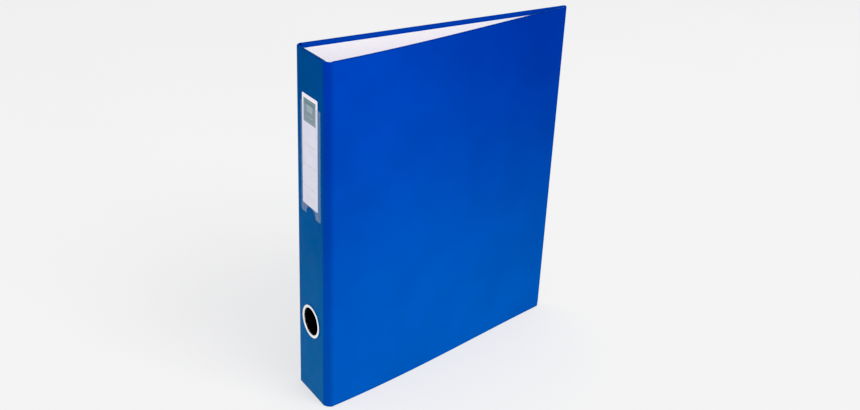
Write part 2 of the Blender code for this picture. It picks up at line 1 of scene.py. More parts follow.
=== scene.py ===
"""Looks of the A4 lever arch file: film, folds, lining, label, finger ring and mechanism.

Plain lengths are in millimetres, and MM turns them into metres. u is the distance from the
spine's outer face, w the depth into the case from a panel's outer face, z the height. The mechanism
counts w from the rear lining and z from the middle of the height.
"""
import json
import math

import bpy
import bmesh
from mathutils import Matrix, Vector
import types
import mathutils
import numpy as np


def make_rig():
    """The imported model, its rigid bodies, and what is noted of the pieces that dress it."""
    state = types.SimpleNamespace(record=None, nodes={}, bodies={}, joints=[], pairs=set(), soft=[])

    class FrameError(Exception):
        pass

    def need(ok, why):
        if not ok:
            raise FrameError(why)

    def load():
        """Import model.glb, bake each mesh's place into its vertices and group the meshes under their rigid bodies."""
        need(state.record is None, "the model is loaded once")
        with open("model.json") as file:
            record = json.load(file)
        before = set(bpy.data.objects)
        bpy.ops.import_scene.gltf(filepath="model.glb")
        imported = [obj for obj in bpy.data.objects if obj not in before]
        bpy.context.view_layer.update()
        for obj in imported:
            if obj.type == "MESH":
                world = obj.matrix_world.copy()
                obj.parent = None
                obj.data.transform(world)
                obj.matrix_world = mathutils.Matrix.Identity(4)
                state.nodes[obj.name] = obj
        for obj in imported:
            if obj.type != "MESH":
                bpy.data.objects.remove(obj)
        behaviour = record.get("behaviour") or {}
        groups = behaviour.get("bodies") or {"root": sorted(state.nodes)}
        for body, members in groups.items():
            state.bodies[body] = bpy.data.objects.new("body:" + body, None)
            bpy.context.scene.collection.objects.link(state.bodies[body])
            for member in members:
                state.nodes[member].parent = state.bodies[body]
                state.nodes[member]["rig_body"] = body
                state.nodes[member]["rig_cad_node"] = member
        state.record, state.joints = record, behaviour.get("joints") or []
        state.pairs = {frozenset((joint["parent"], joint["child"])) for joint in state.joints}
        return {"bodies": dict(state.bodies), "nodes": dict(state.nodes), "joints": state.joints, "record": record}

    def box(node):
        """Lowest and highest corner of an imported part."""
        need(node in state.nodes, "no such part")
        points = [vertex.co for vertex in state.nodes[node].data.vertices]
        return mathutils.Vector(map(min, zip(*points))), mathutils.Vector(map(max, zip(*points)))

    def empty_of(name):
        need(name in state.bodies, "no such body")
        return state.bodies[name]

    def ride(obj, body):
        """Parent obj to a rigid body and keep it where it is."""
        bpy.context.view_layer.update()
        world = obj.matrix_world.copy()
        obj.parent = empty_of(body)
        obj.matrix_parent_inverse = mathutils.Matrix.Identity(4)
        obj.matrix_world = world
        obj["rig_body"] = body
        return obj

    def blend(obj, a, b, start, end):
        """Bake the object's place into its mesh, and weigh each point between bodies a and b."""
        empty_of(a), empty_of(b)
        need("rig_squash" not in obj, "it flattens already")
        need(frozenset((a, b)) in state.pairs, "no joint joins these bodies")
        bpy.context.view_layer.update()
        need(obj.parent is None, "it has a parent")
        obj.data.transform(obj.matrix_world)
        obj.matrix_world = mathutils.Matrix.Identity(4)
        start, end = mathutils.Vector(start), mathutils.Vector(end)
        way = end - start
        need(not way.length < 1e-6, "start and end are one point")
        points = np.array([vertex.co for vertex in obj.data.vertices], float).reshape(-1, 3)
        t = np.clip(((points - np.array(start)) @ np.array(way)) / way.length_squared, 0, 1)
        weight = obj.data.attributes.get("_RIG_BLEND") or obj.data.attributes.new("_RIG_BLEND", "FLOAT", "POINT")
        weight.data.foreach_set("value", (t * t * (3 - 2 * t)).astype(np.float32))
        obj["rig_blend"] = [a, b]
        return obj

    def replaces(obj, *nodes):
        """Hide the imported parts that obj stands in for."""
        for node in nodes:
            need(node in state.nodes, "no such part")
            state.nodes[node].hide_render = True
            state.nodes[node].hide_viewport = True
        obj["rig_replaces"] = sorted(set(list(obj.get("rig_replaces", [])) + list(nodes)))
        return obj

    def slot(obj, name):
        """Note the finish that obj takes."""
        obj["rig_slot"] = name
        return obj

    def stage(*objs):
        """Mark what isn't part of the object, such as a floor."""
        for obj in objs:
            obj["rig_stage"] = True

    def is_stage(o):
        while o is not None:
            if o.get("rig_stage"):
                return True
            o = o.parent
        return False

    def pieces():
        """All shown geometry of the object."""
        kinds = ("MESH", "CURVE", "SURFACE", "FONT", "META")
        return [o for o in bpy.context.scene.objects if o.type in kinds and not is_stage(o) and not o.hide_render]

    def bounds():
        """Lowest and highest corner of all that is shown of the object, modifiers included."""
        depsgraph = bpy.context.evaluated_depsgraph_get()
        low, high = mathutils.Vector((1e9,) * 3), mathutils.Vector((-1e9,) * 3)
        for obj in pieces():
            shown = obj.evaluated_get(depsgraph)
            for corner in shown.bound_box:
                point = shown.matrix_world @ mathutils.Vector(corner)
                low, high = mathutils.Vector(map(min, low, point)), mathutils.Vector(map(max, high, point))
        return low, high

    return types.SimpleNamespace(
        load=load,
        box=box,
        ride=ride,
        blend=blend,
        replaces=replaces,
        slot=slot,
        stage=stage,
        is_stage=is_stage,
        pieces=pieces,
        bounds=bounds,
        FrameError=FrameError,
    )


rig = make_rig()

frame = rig.load()
cad_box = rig.bounds()

MM = 0.001
UP = Vector((0, 0, 1))
INTO_CASE = Vector((0, -1, 0))     # away from the rear cover
INTO_SPINE = Vector((1, 0, 0))
OUT_OF_SPINE = Vector((-1, 0, 0))

# The case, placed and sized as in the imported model
SPINE_LOW, SPINE_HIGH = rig.box("spine_skin")
SPINE_X = SPINE_LOW.x
SPINE_Y = (SPINE_LOW.y + SPINE_HIGH.y) / 2
HEIGHT = SPINE_HIGH.z / MM
THICKNESS = 56.0
FRONT_Y = SPINE_Y - THICKNESS / 2 * MM
REAR_Y = SPINE_Y + THICKNESS / 2 * MM
DEPTH = 280.0
PANEL = 3.0
FILM = 0.35
WRAP = 2.88                        # depth of a wrapped board, under the lining paper
WRAP_R = 0.85                      # bend of the film round a board's rim
TURN_IN = 6.5                      # film folded onto the inner face, partly under the lining
LINING_EDGE = 4.0                  # film that the lining leaves free
PAPER = 0.12
CORNER_R = 1.6                     # outer corners of the covers
HINGE_R = 6.0
FOLD_FLATNESS = 0.5                # 0 is a round fold, 1 a flat one
FOLD_PAPER = 0.80                  # depth of the lining in a fold
COVER = DEPTH - HINGE_R
LEAN = math.radians(10.2)
BOW = 3.0                          # height of the front cover's bulge
BULGE = 27 / 4                     # times the cubic's own peak of 4/27, this is 1
SPINE_HALF = THICKNESS / 2 - HINGE_R

# Ring and label on the spine
RING_Z = 75.7
RING_R = 15.35
RING_BORE_R = 12.7
SPINE_HOLE_R = 13.7
POCKET_Y = (-18.0, 16.0)
POCKET_Z = (179.0, 277.0)
CARD_Y = (-13.5, 13.0)
CARD_Z = (187.0, 284.5)
THUMB_CUT_R = 8.5
CARD_FACE = 0.36                   # the card's two faces, in front of the spine's
CARD_BACK = 0.16
PRINT_Y = 10.3                     # half the width of the printed panel
PRINT_Z = (261, 281)
RULED_Z = (242.0, 223.5, 204.0)

# Mechanism, in u, height over the rear lining and height from the middle
MID_Z = HEIGHT / 2
PLATE_U = (17.0, 73.0)
PLATE_HALF_Z = 59.0
PLATE_CORNER_R = 5.0
PLATE_FOOT = 0.6                   # where loops, ears and beads start, inside the plate's sheet
LOOP_Z = (27.0, 33.0)
EAR_Z = (8.2, 9.4)
BEAD_U = (33.0, 56.0)
BEAD_Z = 50.0
RIVETS = [(u, z) for u in (22.0, 68.0) for z in (-54.0, 54.0)]
RIVET_BORE_R = 2.25
POST_U = 64.0
POST_HALF_Z = 40.0
POSTS = [(POST_U, side * POST_HALF_Z) for side in (-1, 1)]
POST_TOP = 15.0
WIRE_R = 1.9
ARCH_AXIS = (28.0, 3.5)
ARCH_BEND_R = (POST_U - ARCH_AXIS[0]) / 2
ARCH_SPRING = 17.2                 # where the arch's bend starts
CRANK = (41.8, 5.0)                # the arch wire's middle run, under the roller
CRANK_HALF_Z = 14.0
LEVER_PIVOT = (47.5, 12.0)
LEVER_DROOP = math.radians(8)      # of the closed lever, towards the plate
LEVER_LENGTH = 32.0
LEVER_HALF_Z = 7.6
LEVER_TOP = 4.2
LEVER_SHEET = 1.2
LEVER_BEND = 1.5
LEVER_PIN_BORE_R = 1.7
TAB_R = 4.5
TAB_SWEEP = math.radians(62)       # how far the finger tab curls up
# Along the lever and up from its pivot
ROLLER = (9.5 * math.cos(math.radians(7)), -9.5 * math.sin(math.radians(7)))
LEAF_U = (30.5, 44.0)
BAR_U = (57.5, 70.5)
BAR_W = (1.6, 5.0)
BAR_HALF_Z = 48.0

# Blue of the film at the head and at the foot, as display colours. It is one film all over: the change from head to
# foot is painted shade, and the darker blues of the fore-edge, the spine and the folds are painted shade as well.
FRONT_BLUE = ((0, 69, 174), (0, 88, 179))
FORE_EDGE_PAINTED_SHADE_BLUE = ((0, 54, 151), (0, 79, 163))
REAR_BLUE = ((2, 69, 170), (2, 84, 173))
SPINE_PAINTED_SHADE_BLUE = ((0, 72, 138), (17, 92, 152))
FOLD_PAINTED_SHADE_BLUE = ((0, 62, 164), (0, 78, 166))
FILM_GLOSS = 0.035

# Floor and studio light, in metres and watts
FLOOR_HALF = 6.0
FLOOR_GREYS = (0.29, 0.30)
FLOOR_GLOW = 0.58
SKY_STRENGTH = 0.85
LAMP_AIM = Vector((0, 0, 0.15))
LAMPS = (("key", (0.7, -1.7, 2.1), 1.8, 34), ("side", (-2.1, -0.5, 1.1), 1.2, 7))

# Camera, as seen from the front left and above
AZIMUTH = math.radians(-34.14)
ELEVATION = math.radians(25.6)
ROLL = math.radians(2.63)
DISTANCE = 966.3 * MM
TARGET = Vector((-19.74, -0.45, 161.68)) * MM
LENS = 45.05
SENSOR = 36

# Exposure: straight from black to the shoulder, then flatter up to the brightest light
BLACK_LEVEL = 0.018
SHOULDER = 0.9
WHITE_LEVEL = 1.35
WHITE_OUT = 0.985


# Places: from a piece's own measures to the frame of the whole object, in metres

def on_spine(y, w, z):
    return Vector((SPINE_X + w * MM, SPINE_Y + y * MM, z * MM))


def on_rear(along, w, z):
    return Vector((SPINE_X + (HINGE_R + along) * MM, REAR_Y - w * MM, z * MM))


def on_front(along, w, z):
    """The front cover: a cubic bulge on a straight chord that leans in to the fore-edge."""
    part = along / COVER
    bulge = BULGE * BOW * part * (1 - part) ** 2
    slope = BULGE * BOW * (1 - part) * (1 - 3 * part) / COVER
    chord = Vector((math.cos(LEAN), math.sin(LEAN), 0))
    outward = Vector((math.sin(LEAN), -math.cos(LEAN), 0))
    normal = (slope * chord - outward).normalized()
    start = Vector((SPINE_X + HINGE_R * MM, FRONT_Y, z * MM))
    return start + (along * chord + bulge * outward + w * normal) * MM


def on_fold(side):
    """A fold between spine and cover, side -1 at the front, in share across it, depth and height."""
    centre = Vector((SPINE_X + HINGE_R * MM, SPINE_Y + side * SPINE_HALF * MM, 0))

    def place(share, w, z):
        angle = share * math.pi / 2
        chord = HINGE_R * math.cos(math.pi / 4) / math.cos(angle - math.pi / 4)
        radius = HINGE_R + FOLD_FLATNESS * (chord - HINGE_R) - w
        return centre + Vector((-radius * math.cos(angle), side * radius * math.sin(angle), z)) * MM
    return place


def on_plate(u, w, z):
    return Vector((SPINE_X + u * MM, REAR_Y - (PANEL + w) * MM, (MID_Z + z) * MM))


def on_lever(along, up, z):
    u = LEVER_PIVOT[0] - along * math.cos(LEVER_DROOP) - up * math.sin(LEVER_DROOP)
    w = LEVER_PIVOT[1] - along * math.sin(LEVER_DROOP) + up * math.cos(LEVER_DROOP)
    return on_plate(u, w, z)


# Ways of making a piece

def steps(low, high, count):
    """count equal steps from low to high, both ends included."""
    return [low + (high - low) * index / count for index in range(count + 1)]


def arc(centre, radius, start, end, count):
    """Points on an arc, from start to end in degrees."""
    angles = [math.radians(angle) for angle in steps(start, end, count)]
    return [(centre[0] + radius * math.cos(a), centre[1] + radius * math.sin(a)) for a in angles]


def rounded(low, high, radius, count):
    """A rectangle between two opposite corners, with count steps round each corner."""
    (a0, b0), (a1, b1) = low, high
    corners = ((a1 - radius, b1 - radius), (a0 + radius, b1 - radius),
               (a0 + radius, b0 + radius), (a1 - radius, b0 + radius))
    outline = []
    for turn, corner in enumerate(corners):
        outline += arc(corner, radius, 90 * turn, 90 * turn + 90, count)
    return outline


def finish_mesh(name, shape, sharp=38):
    bmesh.ops.recalc_face_normals(shape, faces=shape.faces)
    mesh = bpy.data.meshes.new(name)
    shape.to_mesh(mesh)
    shape.free()
    piece = bpy.data.objects.new(name, mesh)
    bpy.context.scene.collection.objects.link(piece)
    smooth(piece, sharp)
    return piece


def smooth(piece, sharp=38):
    piece.data.shade_smooth()
    piece.data.set_sharp_from_angle(angle=math.radians(sharp))


def bridge(shape, lower, upper, closed=True):
    """Faces between two rows of as many vertices."""
    count = len(lower)
    for index in range(count if closed else count - 1):
        after = (index + 1) % count
        shape.faces.new((lower[index], lower[after], upper[after], upper[index]))


def turned(name, profile, base, direction, sides=48, ring=False):
    """Radius and height pairs, in millimetres, spun about the line through base along direction."""
    shape = bmesh.new()
    aim = direction.normalized().to_track_quat("Z", "Y").to_matrix()
    rings = []
    angles = [2 * math.pi * index / sides for index in range(sides)]
    for radius, height in profile:
        points = [Vector((radius * math.cos(a), radius * math.sin(a), height)) for a in angles]
        rings.append([shape.verts.new(base + aim @ point * MM) for point in points])
    for lower, upper in zip(rings, rings[1:]):
        bridge(shape, lower, upper)
    if ring:
        bridge(shape, rings[-1], rings[0])
    else:
        shape.faces.new(rings[0])
        shape.faces.new(rings[-1])
    return finish_mesh(name, shape)


def lofted(name, rings, sharp=38):
    """A closed skin over rings of points, with flat ends."""
    shape = bmesh.new()
    rows = [[shape.verts.new(point) for point in ring] for ring in rings]
    for lower, upper in zip(rows, rows[1:]):
        bridge(shape, lower, upper)
    shape.faces.new(rows[0])
    shape.faces.new(rows[-1])
    return finish_mesh(name, shape, sharp)


def extruded(name, outline, low, high, place, edge=0.0, segments=2):
    """An outline given a thickness, with its rims rounded by edge."""
    shape = bmesh.new()
    ends = [[shape.verts.new(place(a, b, depth)) for a, b in outline] for depth in (low, high)]
    caps = [shape.faces.new(ends[0][::-1]), shape.faces.new(ends[1])]
    bridge(shape, ends[0], ends[1])
    if edge:
        rims = [rim for cap in caps for rim in cap.edges]
        bmesh.ops.bevel(shape, geom=rims, offset=edge * MM, segments=segments, profile=0.5,
                        affect="EDGES", clamp_overlap=True)
    return finish_mesh(name, shape)


def combined(piece, operands, operation):
    """Joins or cuts with other solids, which are used up."""
    for operand in operands:
        step = piece.modifiers.new(operand.name, "BOOLEAN")
        step.operation = operation
        step.solver = "EXACT"
        step.object = operand
    bpy.context.view_layer.update()
    graph = bpy.context.evaluated_depsgraph_get()
    mesh = bpy.data.meshes.new_from_object(piece.evaluated_get(graph))
    piece.modifiers.clear()
    piece.data = mesh
    for operand in operands:
        bpy.data.objects.remove(operand, do_unlink=True)
    smooth(piece)
    return piece


def cylinders(name, places, radius, direction, low, high, sides=32):
    """Cutting solid made of separate cylinders, low to high along direction."""
    shape = bmesh.new()
    aim = direction.to_track_quat("Z", "Y").to_matrix().to_4x4()
    for place in places:
        middle = place + direction * (low + high) / 2 * MM
        bmesh.ops.create_cone(shape, cap_ends=True, segments=sides, radius1=radius * MM,
                              radius2=radius * MM, depth=(high - low) * MM,
                              matrix=Matrix.Translation(middle) @ aim)
    return finish_mesh(name, shape)


def bores(name, spots, radius, low, high):
    """Cutting cylinders square to the rear cover, at pairs of u and z."""
    places = [on_plate(u, 0, z) for u, z in spots]
    return cylinders(name, places, radius, INTO_CASE, low, high)


def bent_path(corners):
    """Points along straight runs joined by arcs; each corner is a point and its bend radius."""
    path = [corners[0][0]]
    for (before, _), (point, radius), (after, _) in zip(corners, corners[1:], corners[2:]):
        back = (before - point).normalized()
        onward = (after - point).normalized()
        turn = math.pi - back.angle(onward)
        centre = point + (back + onward).normalized() * radius * MM / math.cos(turn / 2)
        start = point + back * radius * MM * math.tan(turn / 2) - centre
        end = point + onward * radius * MM * math.tan(turn / 2) - centre
        for share in steps(0, 1, max(4, round(turn / math.radians(6)))):
            arm = math.sin((1 - share) * turn) * start + math.sin(share * turn) * end
            bend = centre + arm / math.sin(turn)
            if (bend - path[-1]).length > 0.05 * MM:
                path.append(bend)
    path.append(corners[-1][0])
    return path


def wire(name, path, radii, sides=24):
    """A round wire along a path, with its radius at each point."""
    rings = []
    tangent = (path[1] - path[0]).normalized()
    across = tangent.orthogonal().normalized()
    angles = [2 * math.pi * side / sides for side in range(sides)]
    for index, point in enumerate(path):
        heading = (path[min(index + 1, len(path) - 1)] - path[max(index - 1, 0)]).normalized()
        across = tangent.rotation_difference(heading) @ across
        tangent = heading
        other = tangent.cross(across)
        rings.append([point + radii[index] * MM * (math.cos(a) * across + math.sin(a) * other)
                      for a in angles])
    return lofted(name, rings)


# Node materials

def linear(*display):
    """A display colour, 0 to 255, as the linear colour that a shader takes."""
    def channel(value):
        value /= 255
        return value / 12.92 if value <= 0.04045 else ((value + 0.055) / 1.055) ** 2.4
    return tuple(channel(value) for value in display) + (1.0,)


class Finish:
    """A node material under construction: noise, ramps and bump around one Principled shader."""

    MIX_FIRST, MIX_SECOND, MIX_RESULT = 6, 7, 2     # the colour sockets of a Mix node

    def __init__(self, name, slot):
        self.material = bpy.data.materials.new(name)
        self.material.use_nodes = True
        self.slot = slot
        self.tree = self.material.node_tree
        self.shader = self.tree.nodes["Principled BSDF"]
        self.place = self.node("ShaderNodeTexCoord").outputs["Object"]

    def node(self, kind, **settings):
        made = self.tree.nodes.new(kind)
        for key, value in settings.items():
            setattr(made, key, value)
        return made

    def feed(self, socket, value):
        if isinstance(value, bpy.types.NodeSocket):
            self.tree.links.new(value, socket)
        else:
            socket.default_value = value

    def set(self, **values):
        for key, value in values.items():
            self.feed(self.shader.inputs[key.replace("_", " ")], value)
        return self

    def noise(self, scale, detail=3.0, stretch=(1, 1, 1), distortion=0.0):
        mapping = self.node("ShaderNodeMapping")
        self.feed(mapping.inputs["Vector"], self.place)
        mapping.inputs["Scale"].default_value = stretch
        made = self.node("ShaderNodeTexNoise")
        self.feed(made.inputs["Vector"], mapping.outputs["Vector"])
        made.inputs["Scale"].default_value = scale
        made.inputs["Detail"].default_value = detail
        made.inputs["Distortion"].default_value = distortion
        return made.outputs["Fac"]

    def cells(self, scale):
        made = self.node("ShaderNodeTexVoronoi", feature="SMOOTH_F1")
        self.feed(made.inputs["Vector"], self.place)
        made.inputs["Scale"].default_value = scale
        made.inputs["Smoothness"].default_value = 0.6
        return made.outputs["Distance"]

    def axis(self, name):
        made = self.node("ShaderNodeSeparateXYZ")
        self.feed(made.inputs[0], self.place)
        return made.outputs[name]

    def spread(self, value, low, high, to_low=0.0, to_high=1.0, kind="LINEAR"):
        made = self.node("ShaderNodeMapRange", interpolation_type=kind)
        for socket, given in zip(made.inputs, (value, low, high, to_low, to_high)):
            self.feed(socket, given)
        return made.outputs["Result"]

    def mix(self, share, first, second, blend="MIX"):
        made = self.node("ShaderNodeMix", data_type="RGBA", blend_type=blend)
        self.feed(made.inputs["Factor"], share)
        self.feed(made.inputs[self.MIX_FIRST], first)
        self.feed(made.inputs[self.MIX_SECOND], second)
        return made.outputs[self.MIX_RESULT]

    def math(self, operation, first, second):
        made = self.node("ShaderNodeMath", operation=operation)
        self.feed(made.inputs[0], first)
        self.feed(made.inputs[1], second)
        return made.outputs[0]

    def times(self, first, second):
        return self.math("MULTIPLY", first, second)

    def bump(self, *layers):
        """Height layers of (value, strength, depth in mm), finest last."""
        normal = None
        for height, strength, depth in layers:
            made = self.node("ShaderNodeBump")
            made.inputs["Strength"].default_value = strength
            made.inputs["Distance"].default_value = depth * MM
            self.feed(made.inputs["Height"], height)
            if normal:
                self.feed(made.inputs["Normal"], normal)
            normal = made.outputs["Normal"]
        self.feed(self.shader.inputs["Normal"], normal)
        return self

    def attribute(self, name):
        return self.node("ShaderNodeAttribute", attribute_name=name).outputs["Fac"]


def film_finish(name, slot, top, foot, fore=None, fold=None, beside=None, rim=(0, 30, 100),
                painted_rim_share=0.6):
    """Embossed blue film with painted shade: lighter towards the foot, and a painted rim colour where it is bent over
    a rim.

    Each pair of colours is for the head and the foot, and the change between them is painted shade: fore at the
    fore-edge and fold at the spine's front are painted shade as well. beside has those of the panels on both sides of
    a fold, and where the first gives way, as painted shade across the fold. rim is painted shade where it is darker
    than the film and a painted highlight where it is lighter.
    """
    made = Finish(name, slot)
    # Painted shade: the film is darker at the head and lighter towards the foot
    height = made.spread(made.axis("Z"), 0.0, HEIGHT * MM, kind="SMOOTHSTEP")

    def shaded(colours):
        return made.mix(height, linear(*colours[1]), linear(*colours[0]))

    colour = shaded((top, foot))
    if fore:
        # Painted shade towards the fore-edge, slanting towards its upper corner
        place = made.math("ADD", made.axis("X"), made.times(made.axis("Z"), 0.4))
        reach = made.spread(place, 24 * MM, 214 * MM)
        colour = made.mix(reach, colour, shaded(fore))
    if fold:
        # Painted shade: the spine's blue changes to the fold's darker blue within 3.5 mm on both sides of the fold
        along = made.attribute("along")
        side = made.spread(along, 3.5 - SPINE_HALF, -SPINE_HALF - 3.5, kind="SMOOTHSTEP")
        colour = made.mix(side, colour, shaded(fold))
    if beside:
        # Painted shade across the fold: the first panel's blue gives way to the fold's, and the fold's to the second
        # panel's near its far end
        along = made.attribute("along")
        first, second, start = beside
        side = made.spread(along, start, start + 0.6, kind="SMOOTHSTEP")
        colour = made.mix(side, shaded(first), colour)
        colour = made.mix(made.spread(along, 0.78, 1.0, kind="SMOOTHSTEP"), colour, shaded(second))
    cloud = made.spread(made.noise(22, 4), 0.35, 0.65, 0.96, 1.04)
    grain = made.spread(made.noise(1500, 2), 0.3, 0.7, 0.97, 1.03)
    colour = made.mix(1.0, colour, made.times(cloud, grain), "MULTIPLY")
    # Painted rim colour, mottled by noise, on the film's bent rims, the faces between them and its creases: painted
    # shade where the rim colour is darker than the film, a painted highlight where it is lighter
    rim_shade_mottle = made.spread(made.noise(420, 5), 0.35, 0.65, 0.6 * painted_rim_share, painted_rim_share)
    colour = made.mix(made.times(made.attribute("rim"), rim_shade_mottle), colour, linear(*rim))
    made.set(Base_Color=colour, Roughness=made.spread(made.noise(90, 4), 0.3, 0.7, 0.36, 0.46))
    made.set(Specular_IOR_Level=FILM_GLOSS, Specular_Tint=(0.25, 0.55, 1.0, 1.0))
    return made.bump((made.noise(14, 2), 0.12, 0.6), (made.cells(1300), 0.10, 0.05))


def paper_finish(name, slot, colour, shadow, scale=900, rough=0.72):
    made = Finish(name, slot)
    fibres = made.noise(scale, 5, (1, 1, 0.35), 0.6)
    tone = made.mix(made.spread(fibres, 0.35, 0.7), shadow, colour)
    tone = made.mix(made.spread(made.noise(18, 3), 0.4, 0.7, 0.0, 0.5), tone, colour)
    roughness = made.spread(made.noise(200, 3), 0.3, 0.7, rough - 0.06, rough + 0.06)
    made.set(Base_Color=tone, Roughness=roughness, Specular_IOR_Level=0.25)
    return made.bump((fibres, 0.18, 0.04))


def metal_finish(name, slot, colour, shadow, low, high, stretch=(1, 1, 1)):
    made = Finish(name, slot)
    cloud = made.noise(60, 4)
    scratch = made.noise(700, 3, stretch, 0.3)
    tone = made.mix(made.spread(cloud, 0.3, 0.75), shadow, colour)
    tone = made.mix(made.spread(scratch, 0.62, 0.75, 0.0, 0.35), tone, shadow)
    made.set(Base_Color=tone, Metallic=1.0, Roughness=made.spread(scratch, 0.3, 0.7, low, high))
    return made.bump((scratch, 0.05, 0.02))


def clear_finish(name, slot, colour, alpha, rough, ribs):
    made = Finish(name, slot)
    cloud = made.noise(120, 3)
    duller = tuple(0.9 * part for part in colour[:3]) + (1,)
    tone = made.mix(made.spread(cloud, 0.3, 0.7), colour, duller)
    made.set(Base_Color=tone, Alpha=made.spread(cloud, 0.3, 0.7, alpha * 0.9, alpha * 1.1))
    made.set(Roughness=made.spread(made.noise(400, 3), 0.3, 0.7, rough * 0.8, rough * 1.2))
    made.set(Specular_IOR_Level=0.4)
    waves, fine = made.noise(30, 2), made.noise(ribs, 1, (0.05, 0.05, 1))
    return made.bump((waves, 0.15, 0.3), (fine, 0.2, 0.05))


def plastic_finish(name, colour, shadow, scale, rough, gloss, grain):
    """Moulded plastic; rough is its range of roughness, grain the scale and strength of its bump."""
    made = Finish(name, name)
    cloud = made.noise(scale, 3)
    made.set(Base_Color=made.mix(made.spread(cloud, 0.3, 0.7), shadow, colour))
    made.set(Roughness=made.spread(cloud, 0.3, 0.7, *rough), Specular_IOR_Level=gloss)
    return made.bump((made.noise(grain[0], 2), grain[1], 0.03))


def make_finishes():
    return {
        "front": film_finish("blue_film_front", "cover_film", *FRONT_BLUE, fore=FORE_EDGE_PAINTED_SHADE_BLUE),
        "rear": film_finish("blue_film_rear", "cover_film", *REAR_BLUE),
        "spine": film_finish("blue_film_spine", "cover_film", *SPINE_PAINTED_SHADE_BLUE, fold=FOLD_PAINTED_SHADE_BLUE),
        # The front fold's lighter rim colour is a painted highlight on its rims and creases; the other films' rim
        # colour is painted shade
        "front_fold": film_finish("blue_film_front_fold", "fold_film", *FOLD_PAINTED_SHADE_BLUE,
                                  beside=(SPINE_PAINTED_SHADE_BLUE, FRONT_BLUE, -0.3), rim=(70, 120, 205),
                                  painted_rim_share=0.3),
        "rear_fold": film_finish("blue_film_rear_fold", "fold_film", *FOLD_PAINTED_SHADE_BLUE,
                                 beside=(SPINE_PAINTED_SHADE_BLUE, REAR_BLUE, 0.0), painted_rim_share=0.4),
        "lining": paper_finish("lining_paper", "lining",
                               linear(252, 249, 252), linear(248, 245, 250)),
        "board": paper_finish("grey_board", "greyboard",
                              linear(160, 152, 140), linear(120, 112, 102), 500, 0.88),
        "nickel": metal_finish("nickel", "nickel_plate",
                               linear(204, 203, 202), linear(178, 178, 180), 0.14, 0.28),
        # The finger ring is the mechanism's nickel plating made lighter: a painted highlight, so that the ring shows
        # brighter than the mechanism
        "ring": metal_finish("ring_nickel_painted_highlight", "nickel_plate",
                             linear(252, 252, 250), linear(240, 240, 240), 0.16, 0.3),
        "spring": metal_finish("spring_steel", "spring_steel",
                               linear(150, 152, 156), linear(104, 106, 112), 0.26, 0.42, (1, 1, 6)),
        "clear": clear_finish("clear_film", "clear_film", linear(206, 218, 232), 0.13, 0.16, 200),
        "weld": clear_finish("welded_film", "clear_film", linear(150, 190, 228), 0.20, 0.42, 900),
        "card": paper_finish("card_stock", "card_stock",
                             linear(242, 236, 246), linear(234, 228, 240), 1400, 0.6),
        "panel_print": paper_finish("panel_print", "card_stock",
                                    linear(108, 132, 140), linear(98, 122, 130), 700, 0.55),
        "pale_print": paper_finish("pale_print", "card_stock",
                                   linear(146, 170, 178), linear(136, 160, 170), 700, 0.55),
        "line_print": paper_finish("line_print", "card_stock",
                                   linear(176, 168, 188), linear(160, 152, 174), 700, 0.55),
        "plastic": plastic_finish("roller_plastic", linear(240, 240, 236), linear(226, 226, 220),
                                  300, (0.32, 0.46), 0.5, (900, 0.08)),
        # Black plastic for the finger hole's bush, which darkens the hole: it stands in for the shade inside
        "black": plastic_finish("black_plastic", linear(18, 18, 19), linear(10, 10, 11),
                                500, (0.45, 0.6), 0.25, (1800, 0.12)),
    }


FINISHES = make_finishes()


def dress(piece, finish, body=None, *replaced):
    """Gives a piece its finish, body and slot, and says which CAD nodes it stands for."""
    piece.data.materials.clear()
    piece.data.materials.append(FINISHES[finish].material)
    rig.slot(piece, FINISHES[finish].slot)
    if body:
        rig.ride(piece, body)
    if replaced:
        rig.replaces(piece, *replaced)
    return piece


# The case

def film_profile(depth, radius):
    """Across a wrapped edge: points outside and inside the film, and how far it is bent there, which weights the
    painted rim shade.

    A point is the distance from the edge and the depth.
    """
    inner = radius - FILM
    pairs = [((TURN_IN + 2, 0), (TURN_IN + 2, FILM), 0)]
    for angle in steps(0, math.pi / 2, 5):
        s, c = math.sin(angle), math.cos(angle)
        pairs.append(((radius - radius * s, radius - radius * c),
                      (radius - inner * s, radius - inner * c), s))
    for angle in steps(0, math.pi / 2, 5):
        s, c = math.sin(angle), math.cos(angle)
        pairs.append(((radius - radius * c, depth - radius + radius * s),
                      (radius - inner * c, depth - radius + inner * s), c))
    pairs.append(((TURN_IN, depth), (TURN_IN, depth - FILM), 0))
    return pairs


